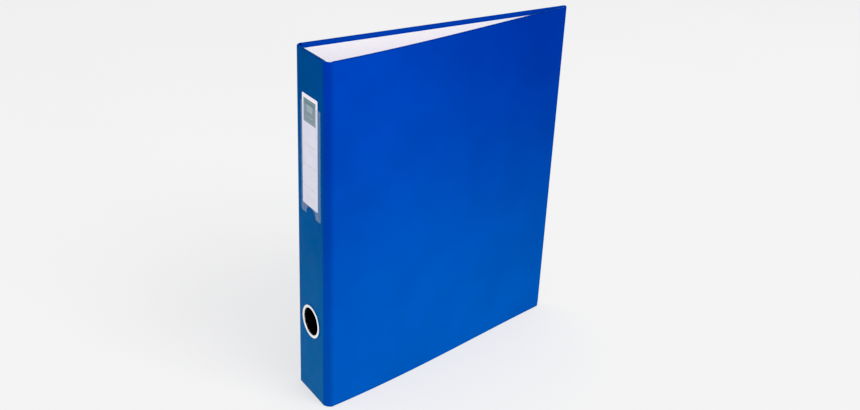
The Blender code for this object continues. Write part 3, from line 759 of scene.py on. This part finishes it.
def wrapped_film(name, cuts, place, depth, radius, free_end=False, painted_end_rims=(0, 0), board_ends=()):
    """Film over a board: outer face, rounded edges and turned-in flaps, as one closed sheet.

    board_ends, 0 for the first and -1 for the last cut, are the ends where the film is tucked over
    the board's end at the head and the foot.
    """
    shape = bmesh.new()
    painted_rim_layer = shape.verts.layers.float.new("rim")
    along_layer = shape.verts.layers.float.new("along")
    first, last = cuts[0], cuts[-1]

    def paths(edge):
        if not free_end:
            return [[(along, edge) for along in cuts], [(along, HEIGHT - edge) for along in cuts]]
        turn = max(CORNER_R - edge, 0.3)
        far = last - edge - turn
        run = [first + (along - first) * (far - first) / (last - first) for along in cuts]
        path = [(along, edge) for along in run[:-1]]
        path += arc((far, edge + turn), turn, -90, 0, 5)
        path += arc((far, HEIGHT - edge - turn), turn, 0, 90, 5)
        path += [(along, HEIGHT - edge) for along in run[-2::-1]]
        return [path]

    def row(point, rim):
        made = []
        for path in paths(point[0]):
            line = [shape.verts.new(place(along, point[1], z)) for along, z in path]
            for vertex, (along, _) in zip(line, path):
                # Painted rim shade: the rim weight of each vertex, raised at both ends of a path by the end values
                # along the creases
                vertex[painted_rim_layer] = rim
                vertex[along_layer] = along
            for vertex, bent in zip((line[0], line[-1]), painted_end_rims):
                vertex[painted_rim_layer] = max(rim, bent)
            made.append(line)
        return made

    profile = film_profile(depth, radius)
    outer = [row(outside, rim) for outside, _, rim in profile]
    inner = [row(inside, 0) for _, inside, _ in profile]
    # The wrapped edges
    for path in range(len(outer[0])):
        for layer in (outer, inner):
            for lower, upper in zip(layer, layer[1:]):
                bridge(shape, lower[path], upper[path], closed=False)
        bridge(shape, outer[-1][path], inner[-1][path], closed=False)
        for end in (0, -1):
            for index in range(len(profile) - 1):
                shape.faces.new((outer[index][path][end], outer[index + 1][path][end],
                                 inner[index + 1][path][end], inner[index][path][end]))
    # The flat face between them, and its ends
    count = len(cuts) - 1
    for layer in (outer, inner):
        low = layer[0][0]
        high = layer[0][1] if not free_end else low[::-1]
        for index in range(count if not free_end else count - 1):
            shape.faces.new((low[index], low[index + 1], high[index + 1], high[index]))
        if free_end:
            shape.faces.new(low[count - 1:len(low) - count + 1])
    for end in ((0,) if free_end else (0, -1)):
        top = 1 if not free_end else 0
        far = -1 if free_end else end
        shape.faces.new((outer[0][0][end], outer[0][top][far],
                         inner[0][top][far], inner[0][0][end]))
    # Film tucked over the ends of the board
    for end in board_ends:
        outline = [outside for outside, _, _ in profile[1:-1]]
        outline += [(LINING_EDGE + 0.4, depth), (LINING_EDGE + 0.4, 0)]
        outward = 1 if end else -1
        for foot in (True, False):
            flap = [(w, edge if foot else HEIGHT - edge) for edge, w in outline]
            faces = [[shape.verts.new(place(cuts[end] + outward * gap, w, z)) for w, z in flap]
                     for gap in (0.01, 0.05)]
            shape.faces.new(faces[0])
            shape.faces.new(faces[1])
            bridge(shape, *faces)
    return finish_mesh(name, shape, 45)


def lining_sheet(name, cuts, place, both_ends=False):
    """Lining paper on a board's inner face, folded down the board's first end, or down both."""
    low, high = cuts[0], cuts[-1]
    line = [(low - 0.10, 1.0), (low - 0.10, WRAP - 0.5)]
    line += [(low + 0.35 + 0.45 * math.cos(a), WRAP - 0.35 + 0.35 * math.sin(a))
             for a in steps(math.pi, math.pi / 2, 4)]
    line += [(cut, WRAP) for cut in cuts
             if cut > low + 0.5 and not (both_ends and cut >= high - 0.5)]
    if both_ends:
        line += [(high - 0.35 + 0.45 * math.cos(a), WRAP - 0.35 + 0.35 * math.sin(a))
                 for a in steps(math.pi / 2, 0, 4)]
        line += [(high + 0.10, WRAP - 0.5), (high + 0.10, 1.0)]
    rows = []
    for index, (along, w) in enumerate(line):
        before, after = line[max(index - 1, 0)], line[min(index + 1, len(line) - 1)]
        heading = Vector((after[0] - before[0], after[1] - before[1])).normalized()
        side = Vector((-heading.y, heading.x)) * PAPER
        rows.append([place(along, w, LINING_EDGE), place(along, w, HEIGHT - LINING_EDGE),
                     place(along + side.x, w + side.y, HEIGHT - LINING_EDGE),
                     place(along + side.x, w + side.y, LINING_EDGE)])
    return lofted(name, rows)


def add_case():
    start = 0.02                       # gap to the film of the fold
    cuts = [start, 0.6] + steps(0, COVER, 8)[1:]
    holes = bores("rivet_cut", RIVETS, RIVET_BORE_R, -PANEL - 1, 2)
    # The end values give the covers and the spine painted shade along their creases at the folds
    rear = wrapped_film("rear_cover_wrap", cuts, on_rear, WRAP, WRAP_R, free_end=True,
                        painted_end_rims=(0.7, 0.7), board_ends=(0,))
    dress(combined(rear, [holes], "DIFFERENCE"), "rear", "rear_cover", "rear_cover_skin")
    cuts = [start, 0.6] + steps(0, COVER, 56)[1:]
    front = wrapped_film("front_cover_wrap", cuts, on_front, WRAP, WRAP_R, free_end=True,
                         painted_end_rims=(1, 1), board_ends=(0,))
    dress(front, "front", "front_cover", "front_cover_skin")
    half = SPINE_HALF - start
    cuts = [-half, -half + 0.5] + steps(-20, 20, 8) + [half - 0.5, half]
    spine = wrapped_film("spine_wrap", cuts, on_spine, WRAP, WRAP_R, painted_end_rims=(0.6, 0.6),
                         board_ends=(0, -1))
    centre = on_spine(0, 0, RING_Z)
    hole = cylinders("finger_cut", [centre], SPINE_HOLE_R, INTO_SPINE, -1, PANEL + 1, 64)
    dress(combined(spine, [hole], "DIFFERENCE"), "spine", "spine", "spine_skin")

    edge = COVER - LINING_EDGE
    sheet = lining_sheet("rear_cover_paper", steps(0.1, edge, 8), on_rear)
    holes = bores("rivet_cut", RIVETS, RIVET_BORE_R, -PANEL, 2)
    dress(combined(sheet, [holes], "DIFFERENCE"), "lining", "rear_cover", "rear_cover_lining")
    sheet = lining_sheet("front_cover_paper", steps(0.1, edge, 56), on_front)
    dress(sheet, "lining", "front_cover", "front_cover_lining")
    cuts = steps(-SPINE_HALF + 0.1, SPINE_HALF - 0.1, 16)
    sheet = lining_sheet("spine_paper", cuts, on_spine, both_ends=True)
    hole = cylinders("finger_cut", [centre], SPINE_HOLE_R, INTO_SPINE, 1, PANEL + 1, 64)
    dress(combined(sheet, [hole], "DIFFERENCE"), "lining", "spine", "spine_lining")

    for side, name, bodies in ((-1, "front_hinge", ("spine", "front_cover")),
                               (1, "rear_hinge", ("spine", "rear_cover"))):
        place = on_fold(side)
        shares = [0.001] + steps(0.02, 0.98, 22) + [0.999]
        # The end values give each fold the rim colour along its creases: painted shade on the rear fold, a painted
        # highlight on the front fold
        film = wrapped_film(name + "_wrap", shares, place, 2 * FILM + 0.06, FILM + 0.03,
                            painted_end_rims=(0.5, 0.8))
        dress(film, name.replace("hinge", "fold"), None, name + "_film")
        low, high = LINING_EDGE, HEIGHT - LINING_EDGE
        strip = ((FOLD_PAPER, low), (FOLD_PAPER, high), (FOLD_PAPER + PAPER, high),
                 (FOLD_PAPER + PAPER, low))
        rows = [[place(share, w, z) for w, z in strip] for share in steps(0.006, 0.994, 24)]
        paper = dress(lofted(name + "_paper", rows), "lining", None, name + "_lining")
        for piece in (film, paper):
            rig.blend(piece, *bodies, start=place(0, 0, 0), end=place(1, 0, 0))


def add_ring():
    def spun(name, profile):
        return turned(name, profile, on_spine(0, 0, RING_Z), OUT_OF_SPINE, 96, ring=True)

    barrel = RING_BORE_R + 0.6
    profile = [(barrel, -PANEL - 1.0), (barrel, 0.12), (RING_R - 0.45, 0.12)]
    profile += arc((RING_R - 0.42, 0.5), 0.4, -60, 90, 7)
    profile += [(RING_R - 0.9, 0.97), (RING_R - 1.4, 1.0), (barrel, 0.93)]
    profile += arc((barrel, 0.33), 0.6, 90, 180, 7)[1:]
    profile += [(RING_BORE_R, -PANEL - 0.8)]
    dress(spun("finger_ring_rolled", profile), "ring", "spine", "finger_ring")
    low, high = -PANEL - 0.9, -PANEL - 0.2
    profile = [(barrel + 0.1, low + 0.15), (barrel + 0.3, low), (RING_R - 0.6, low),
               (RING_R - 0.3, low + 0.2), (RING_R - 0.3, high), (barrel + 0.1, high)]
    dress(spun("finger_ring_backing", profile), "nickel", "spine", "finger_ring_washer")
    # A black bush deep in the finger hole makes the hole show dark inside: it stands in for the shade there
    flange, outer = -PANEL - 1.4, RING_BORE_R - 0.15
    profile = [(outer - 0.65, -10.8), (outer - 0.65, -1.1), (outer - 0.45, -0.75),
               (outer - 0.1, -0.75), (outer, -0.9), (outer, flange), (RING_R - 1.3, flange),
               (RING_R - 1.0, flange - 0.3), (RING_R - 1.3, flange - 1.0),
               (outer + 0.9, flange - 1.0), (outer + 0.55, flange - 1.5), (outer + 0.4, -10.8),
               (outer + 0.2, -11.0), (outer - 0.45, -11.0)]
    dress(spun("finger_ring_hole_shade_bush", profile), "black", "spine", "finger_ring_sleeve")


def add_pocket():
    weld = 1.6
    left, right = CARD_Y[0] - 0.4, CARD_Y[1] + 0.4
    foot = CARD_Z[0] - 0.4
    shape = bmesh.new()
    ys = [POCKET_Y[0], POCKET_Y[0] + 0.25] + steps(POCKET_Y[0] + weld, left, 4)
    ys += steps(left, right, 16)[1:] + steps(right, POCKET_Y[1] - weld, 3)[1:]
    ys += [POCKET_Y[1] - 0.25, POCKET_Y[1]]
    zs = [POCKET_Z[0], POCKET_Z[0] + 0.25] + steps(POCKET_Z[0] + weld, foot, 5)
    zs += steps(foot, POCKET_Z[1], 24)[1:]

    def height(y, z):
        inside = min(y - left + 2.4, right + 1.2 - y, z - foot + 3.0)
        rise = min(max(inside / 2.2, 0), 1)
        return 0.24 + 0.44 * rise * rise * (3 - 2 * rise)

    def lift(y, z):
        rim = min(y - POCKET_Y[0], POCKET_Y[1] - y, z - POCKET_Z[0], POCKET_Z[1] - z)
        return height(y, z) - (0.08 if rim < 0.01 else 0)

    outer = [[shape.verts.new(on_spine(y, -lift(y, z), z)) for y in ys] for z in zs]
    inner = [[shape.verts.new(on_spine(y, 0.19 - height(y, z), z)) for y in ys] for z in zs]
    for layer in (outer, inner):
        for lower, upper in zip(layer, layer[1:]):
            bridge(shape, lower, upper, closed=False)
    bridge(shape, outer[0], inner[0], closed=False)
    bridge(shape, outer[-1], inner[-1], closed=False)
    for end in (0, -1):
        bridge(shape, [line[end] for line in outer], [line[end] for line in inner], closed=False)
    pocket = finish_mesh("label_pocket_film", shape, 60)
    middle = sum(POCKET_Y) / 2
    thumb = cylinders("thumb_cut", [on_spine(middle, 0, POCKET_Z[0])], THUMB_CUT_R, OUT_OF_SPINE,
                      -1, 2, 64)
    dress(combined(pocket, [thumb], "DIFFERENCE"), "clear", "spine", "label_pocket")
    pocket.data.materials.append(FINISHES["weld"].material)
    for face in pocket.data.polygons:
        y = (face.center.y - SPINE_Y) / MM
        if y < left - 0.1 or y > right + 0.1:
            face.material_index = 1


def add_card():
    def flat(y, z, w):
        return on_spine(y, w, z)

    outline = rounded((CARD_Y[0], CARD_Z[0]), (CARD_Y[1], CARD_Z[1]), 1, 5)
    card = extruded("label_card_printed", outline, -CARD_FACE, -CARD_BACK, flat, 0.04)
    dress(card, "card", "label_card", "label_card")

    def printed(name, finish, boxes, rise):
        shape = bmesh.new()
        for y0, y1, z0, z1 in boxes:
            box = ((y0, z0), (y1, z0), (y1, z1), (y0, z1))
            corners = [[shape.verts.new(on_spine(y, w, z)) for y, z in box]
                       for w in (0.005 - CARD_FACE, -CARD_FACE - rise)]
            bridge(shape, *corners)
            shape.faces.new(corners[0])
            shape.faces.new(corners[1])
        dress(finish_mesh(name, shape), finish, "label_card")

    printed("label_panel", "panel_print", [(-PRINT_Y, PRINT_Y, *PRINT_Z)], 0.02)
    inset, line = 1.3, 0.45
    y0, y1, z0, z1 = -PRINT_Y + inset, PRINT_Y - inset, PRINT_Z[0] + inset, PRINT_Z[1] - inset
    pale = [(y0, y1, z0, z0 + line), (y0, y1, z1 - line, z1),
            (y0, y0 + line, z0 + line, z1 - line), (y1 - line, y1, z0 + line, z1 - line),
            (-5.2, 5.2, 270.5, 276.5), (-6.4, 6.4, 265.6, 266.6)]
    printed("label_panel_marks", "pale_print", pale, 0.035)
    ruled = []
    for z in RULED_Z:
        ruled += [(-9.5, PRINT_Y, z - 0.12, z + 0.12), (-9.75, -9.5, z - 0.7, z + 0.7),
                  (PRINT_Y, PRINT_Y + 0.25, z - 0.7, z + 0.7)]
    printed("label_ruled_lines", "line_print", ruled, 0.02)


# The mechanism

def add_plate():
    def flat(u, z, w):
        return on_plate(u, w, z)

    outline = rounded((PLATE_U[0], -PLATE_HALF_Z), (PLATE_U[1], PLATE_HALF_Z), PLATE_CORNER_R, 8)
    plate = extruded("base_plate_pressed", outline, 0.1, 1.1, flat, 0.3, 3)
    foot = PLATE_FOOT
    inner, outer = 2.3, 3.3
    axis = ARCH_AXIS[0]
    loop = [(axis + outer + 0.6, foot), (axis + outer + 0.1, 1.5)]
    loop += arc(ARCH_AXIS, outer, 0, 180, 20)
    loop += [(axis - outer - 0.1, 1.5), (axis - outer - 0.6, foot), (axis - inner, foot)]
    loop += arc(ARCH_AXIS, inner, 180, 0, 20) + [(axis + inner, foot)]
    pivot = LEVER_PIVOT[0]
    ear = [(pivot - 3.6, foot), (pivot + 7.1, foot), (pivot + 6.3, 2.2), (pivot + 5.4, 4.4)]
    ear += arc(LEVER_PIVOT, 3.2, 15, 180, 16) + [(pivot - 3.1, 3.0)]
    joined = []
    for side in (-1, 1):
        low, high = sorted(side * z for z in LOOP_Z)
        joined.append(extruded(f"loop_{side}", loop, low, high, on_plate, 0.2))
        low, high = sorted(side * z for z in EAR_Z)
        joined.append(extruded(f"ear_{side}", ear, low, high, on_plate, 0.2))
        bead = arc((BEAD_U[0], side * BEAD_Z), 1.6, 90, 270, 8)
        bead += arc((BEAD_U[1], side * BEAD_Z), 1.6, 270, 450, 8)
        joined.append(extruded(f"bead_{side}", bead, foot, 1.5, flat, 0.38, 3))
    plate = combined(plate, joined, "UNION")
    cuts = [cylinders("ear_cut", [on_plate(*LEVER_PIVOT, 0)], LEVER_PIN_BORE_R, UP, -11, 11),
            bores("post_cut", POSTS, 1.8, -0.5, 2),
            bores("rivet_cut", RIVETS, RIVET_BORE_R, -1, 2)]
    dress(combined(plate, cuts, "DIFFERENCE"), "nickel", "rear_cover", "base_plate")

    rim = PANEL + 1.1
    profile = [(0.6, -0.9), (1.6, -0.88), (2.6, -0.76), (3.5, -0.55), (4.0, -0.34), (4.2, -0.12),
               (2.0, -0.12), (2.0, rim + 0.15), (3.0, rim + 0.15)]
    profile += arc((2.75, rim + 0.5), 0.42, -45, 100, 6)
    profile += [(1.9, rim + 0.75), (1.4, rim + 0.4), (1.2, rim - 2.5)]
    for number, (u, z) in enumerate(RIVETS, start=1):
        rivet = turned(f"rivet_{number}_domed", profile, on_plate(u, -PANEL, z), INTO_CASE, 40)
        dress(rivet, "nickel", "rear_cover", f"rivet_{number}")


def add_arches():
    profile = [(1.5, 0.2), (1.5, 1.35), (2.0, 1.35), (2.0, POST_TOP - 0.35),
               (1.93, POST_TOP - 0.12), (1.8, POST_TOP), (1.5, POST_TOP - 0.1),
               (0.5, POST_TOP - 1.3)]
    for (u, z), mark in zip(POSTS, ("lower", "upper")):
        post = turned(f"post_{mark}_rod", profile, on_plate(u, 0, z), INTO_CASE, 32)
        dress(post, "nickel", "rear_cover", f"post_{mark}")
    top = ARCH_SPRING + ARCH_BEND_R
    half = [((CRANK[0], CRANK[1], CRANK_HALF_Z), 4), ((*ARCH_AXIS, CRANK_HALF_Z), 4),
            ((*ARCH_AXIS, POST_HALF_Z), 4), ((ARCH_AXIS[0], top, POST_HALF_Z), ARCH_BEND_R),
            ((POST_U, top, POST_HALF_Z), ARCH_BEND_R), ((POST_U, POST_TOP + 0.5, POST_HALF_Z), 0)]
    mirrored = [((u, w, -z), radius) for (u, w, z), radius in reversed(half)]
    path = bent_path([(on_plate(*point), radius) for point, radius in mirrored + half])
    down = Vector((0, MM, 0))
    nib = [(1.55, 0.12), (1.3, 0.14), (0.8, 0.75), (0.3, 1.0)]     # radius and drop of each tip
    first = [path[0] + down * drop for _, drop in reversed(nib)]
    last = [path[-1] + down * drop for _, drop in nib]
    sizes = [radius for radius, _ in nib]
    arches = wire("arch_wire_bent", first + path + last, sizes[::-1] + [WIRE_R] * len(path) + sizes)
    dress(arches, "nickel", "arches", "arch_wire")


def lever_underside(run):
    """Lowest line of the lever's sides: round the pivot, round the roller, then a shallow rim."""
    marks = [(-3.2, 1.2), (-2.7, -0.4), (-2.2, -1.5), (-1.2, -2.4), (0, -2.7), (5, -2.95),
             (ROLLER[0], -3.15), (10.6, -2.85), (11.3, -1.9), (12.0, -0.6), (13.2, 0.9),
             (14.6, 1.8), (17, 2.1), (29, 2.2), (32, 2.5)]
    for (a, low), (b, high) in zip(marks, marks[1:]):
        if run <= b:
            return low + (high - low) * (run - a) / (b - a)
    return marks[-1][1]


def lever_section(half, low, rib):
    """The lever cut across: a channel with sides down to low, and a rib along its top."""
    def corner(side, radius, start, end):
        middle = side * (half - LEVER_BEND)
        return [(middle + radius * math.cos(a), LEVER_TOP - LEVER_BEND + radius * math.sin(a))
                for a in steps(start, end, 5)]

    def top(face, places):
        return [(z, face + rib * max(0.0, 1 - (z / 3.0) ** 2) ** 1.5) for z in places]

    across = steps(-half + LEVER_BEND, half - LEVER_BEND, 14)[1:-1]
    outer = [(-half, low)] + corner(-1, LEVER_BEND, math.pi, math.pi / 2)
    outer += top(LEVER_TOP, across) + corner(1, LEVER_BEND, math.pi / 2, 0) + [(half, low)]
    small = LEVER_BEND - LEVER_SHEET
    inner = [(half - LEVER_SHEET, low)] + corner(1, small, 0, math.pi / 2)
    inner += top(LEVER_TOP - LEVER_SHEET, across[::-1])
    inner += corner(-1, small, math.pi / 2, math.pi) + [(-half + LEVER_SHEET, low)]
    return outer + inner


def add_lever():
    curl = LEVER_TOP - LEVER_SHEET / 2 + TAB_R
    tab = TAB_R * TAB_SWEEP

    def place(run, up, z):
        if run <= LEVER_LENGTH:
            return on_lever(run, up, z)
        angle = (run - LEVER_LENGTH) / TAB_R
        radius = curl - up
        return on_lever(LEVER_LENGTH + radius * math.sin(angle), curl - radius * math.cos(angle), z)

    runs = [-3.2, -2.95, -2.7, -2.2, -1.7, -1.2, -0.6] + steps(0, 10, 8)
    runs += [10.6, 11.3, 12, 12.6, 13.2, 13.9, 14.6] + steps(15.5, LEVER_LENGTH, 12)
    runs += steps(LEVER_LENGTH, LEVER_LENGTH + tab, 10)[1:]
    rings = []
    for run in runs:
        half = LEVER_HALF_Z + 1.4 * min(max(run / LEVER_LENGTH, 0), 1) ** 2
        past = max(0.0, (run - LEVER_LENGTH) / tab)
        half -= 1.6 * past ** 3
        low = min(lever_underside(run), LEVER_TOP - LEVER_BEND - 0.2)
        rib = 0.45 * max(0.0, min(1.0, (run - 15.5) / 2, (30 - run) / 2))
        rings.append([place(run, up, z) for z, up in lever_section(half, low, rib)])
    lever = lofted("lever_pressed", rings)
    cuts = [cylinders("pin_cut", [on_lever(0, 0, 0)], LEVER_PIN_BORE_R, UP, -9, 9),
            cylinders("roller_cut", [on_lever(*ROLLER, 0)], 1.3, UP, -9, 9)]
    dress(combined(lever, cuts, "DIFFERENCE"), "nickel", "lever", "lever")

    reach = 9.7
    profile = [(1.0, -reach - 0.95), (1.9, -reach - 0.85), (2.4, -reach - 0.45), (2.4, -reach),
               (1.5, -reach), (1.5, reach), (2.4, reach), (2.4, reach + 0.45),
               (1.9, reach + 0.85), (1.0, reach + 0.95)]
    pin = turned("lever_pin_riveted", profile, on_plate(*LEVER_PIVOT, 0), UP, 40)
    dress(pin, "nickel", "rear_cover", "lever_pin")
    centre = on_lever(*ROLLER, 0)
    half = LEVER_HALF_Z + 0.3
    profile = [(0.8, -half), (1.1, -half + 0.25), (1.1, half - 0.25), (0.8, half)]
    pin = turned("roller_pin_rod", profile, centre, UP, 32)
    dress(pin, "nickel", "lever", "roller_pin")
    half = 4.6
    profile = [(1.35, -half), (2.9, -half), (3.25, -half + 0.12), (3.45, -half + 0.45),
               (3.5, -half + 0.8), (3.5, -0.9), (3.3, -0.5), (3.3, 0.5), (3.5, 0.9),
               (3.5, half - 0.8), (3.45, half - 0.45), (3.25, half - 0.12), (2.9, half),
               (1.35, half)]
    roller = turned("roller_moulded", profile, centre, UP, 48, ring=True)
    dress(roller, "plastic", "roller", "roller")


def add_spring_and_bar():
    low, high = LEAF_U
    line = [(u, 1.4 + 1.1 * ((u - low) / (high - low)) ** 1.5) for u in steps(low, high, 16)]
    outline = line + [(u, w + 0.4) for u, w in reversed(line)]
    leaf = extruded("leaf_spring_bowed", outline, -5, 5, on_plate, 0.1)
    dress(leaf, "spring", "rear_cover", "leaf_spring")

    bend, sheet = 1.6, 1.0
    (u0, u1), (w0, w1) = BAR_U, BAR_W
    left, right = (u0 + bend, w1 - bend), (u1 - bend, w1 - bend)
    outline = [(u0, w0)] + arc(left, bend, 180, 90, 6) + arc(right, bend, 90, 0, 6)
    outline += [(u1, w0), (u1 - sheet, w0)] + arc(right, bend - sheet, 0, 90, 6)
    outline += arc(left, bend - sheet, 90, 180, 6) + [(u0 + sheet, w0)]
    bar = extruded("compressor_bar_channel", outline, -BAR_HALF_Z, BAR_HALF_Z, on_plate, 0.25)
    holes = bores("bar_cut", POSTS, 2.6, 1, 7)
    dress(combined(bar, [holes], "DIFFERENCE"), "nickel", "compressor", "compressor_bar")


def add_boards():
    for name in ("rear_cover_board", "front_cover_board", "spine_board"):
        node = frame["nodes"][name]
        node.data.materials.clear()
        node.data.materials.append(FINISHES["board"].material)


# Floor, light and camera

def add_stage():
    shape = bmesh.new()
    bmesh.ops.create_grid(shape, x_segments=1, y_segments=1, size=FLOOR_HALF)
    floor = finish_mesh("floor", shape)
    floor.location.z = -0.05 * MM
    paint = Finish("floor_paint", None)
    greys = [(grey, grey, grey, 1) for grey in FLOOR_GREYS]
    tone = paint.mix(paint.spread(paint.noise(3, 2), 0.3, 0.7), *greys)
    paint.set(Base_Color=tone, Roughness=0.9, Specular_IOR_Level=0.0)
    paint.set(Emission_Color=(1, 1, 1, 1), Emission_Strength=FLOOR_GLOW)
    floor.data.materials.append(paint.material)
    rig.stage(floor)

    world = bpy.data.worlds.new("studio")
    bpy.context.scene.world = world
    world.use_nodes = True
    sky = world.node_tree.nodes["Background"]
    sky.inputs["Color"].default_value = (1, 1, 1, 1)
    sky.inputs["Strength"].default_value = SKY_STRENGTH

    for name, place, size, power in LAMPS:
        lamp = bpy.data.lights.new(name, "AREA")
        lamp.shape = "DISK"
        lamp.size = size
        lamp.energy = power
        light = bpy.data.objects.new(name, lamp)
        light.location = place
        light.rotation_mode = "QUATERNION"
        light.rotation_quaternion = (LAMP_AIM - Vector(place)).to_track_quat("-Z", "Y")
        bpy.context.scene.collection.objects.link(light)


def add_camera():
    data = bpy.data.cameras.new("camera")
    data.lens = LENS
    data.sensor_width = SENSOR
    data.sensor_fit = "HORIZONTAL"
    camera = bpy.data.objects.new("camera", data)
    level = math.cos(ELEVATION)
    back = Vector((math.sin(AZIMUTH) * level, -math.cos(AZIMUTH) * level, math.sin(ELEVATION)))
    side = Vector((math.cos(AZIMUTH), math.sin(AZIMUTH), 0))
    up = back.cross(side)
    right = math.cos(ROLL) * side + math.sin(ROLL) * up
    turned_up = math.cos(ROLL) * up - math.sin(ROLL) * side
    rotation = Matrix((right, turned_up, back)).transposed()
    camera.matrix_world = Matrix.Translation(TARGET + back * DISTANCE) @ rotation.to_4x4()
    bpy.context.scene.collection.objects.link(camera)
    bpy.context.scene.camera = camera


def set_exposure():
    """Plain display colours, with the darkest taken to black and the brightest eased off."""
    settings = bpy.context.scene.view_settings
    settings.view_transform = "Standard"
    settings.use_curve_mapping = True
    mapping = settings.curve_mapping
    mapping.black_level = (BLACK_LEVEL,) * 3
    mapping.white_level = (WHITE_LEVEL,) * 3
    knee = (SHOULDER - BLACK_LEVEL) / (WHITE_LEVEL - BLACK_LEVEL)
    curve = mapping.curves[3]          # the one for all channels together
    curve.points[1].location = (1, WHITE_OUT)
    curve.points.new(knee, (SHOULDER - BLACK_LEVEL) / (1 - BLACK_LEVEL))
    for point in curve.points:
        point.handle_type = "VECTOR"
    mapping.update()


add_boards()
add_case()
add_ring()
add_pocket()
add_card()
add_plate()
add_arches()
add_lever()
add_spring_and_bar()
add_stage()
add_camera()
set_exposure()

own_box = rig.bounds()
with open("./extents.json", "w") as size_file:
    json.dump({"cad": [list(corner) for corner in cad_box], "visual": [list(corner) for corner in own_box]},
              size_file)
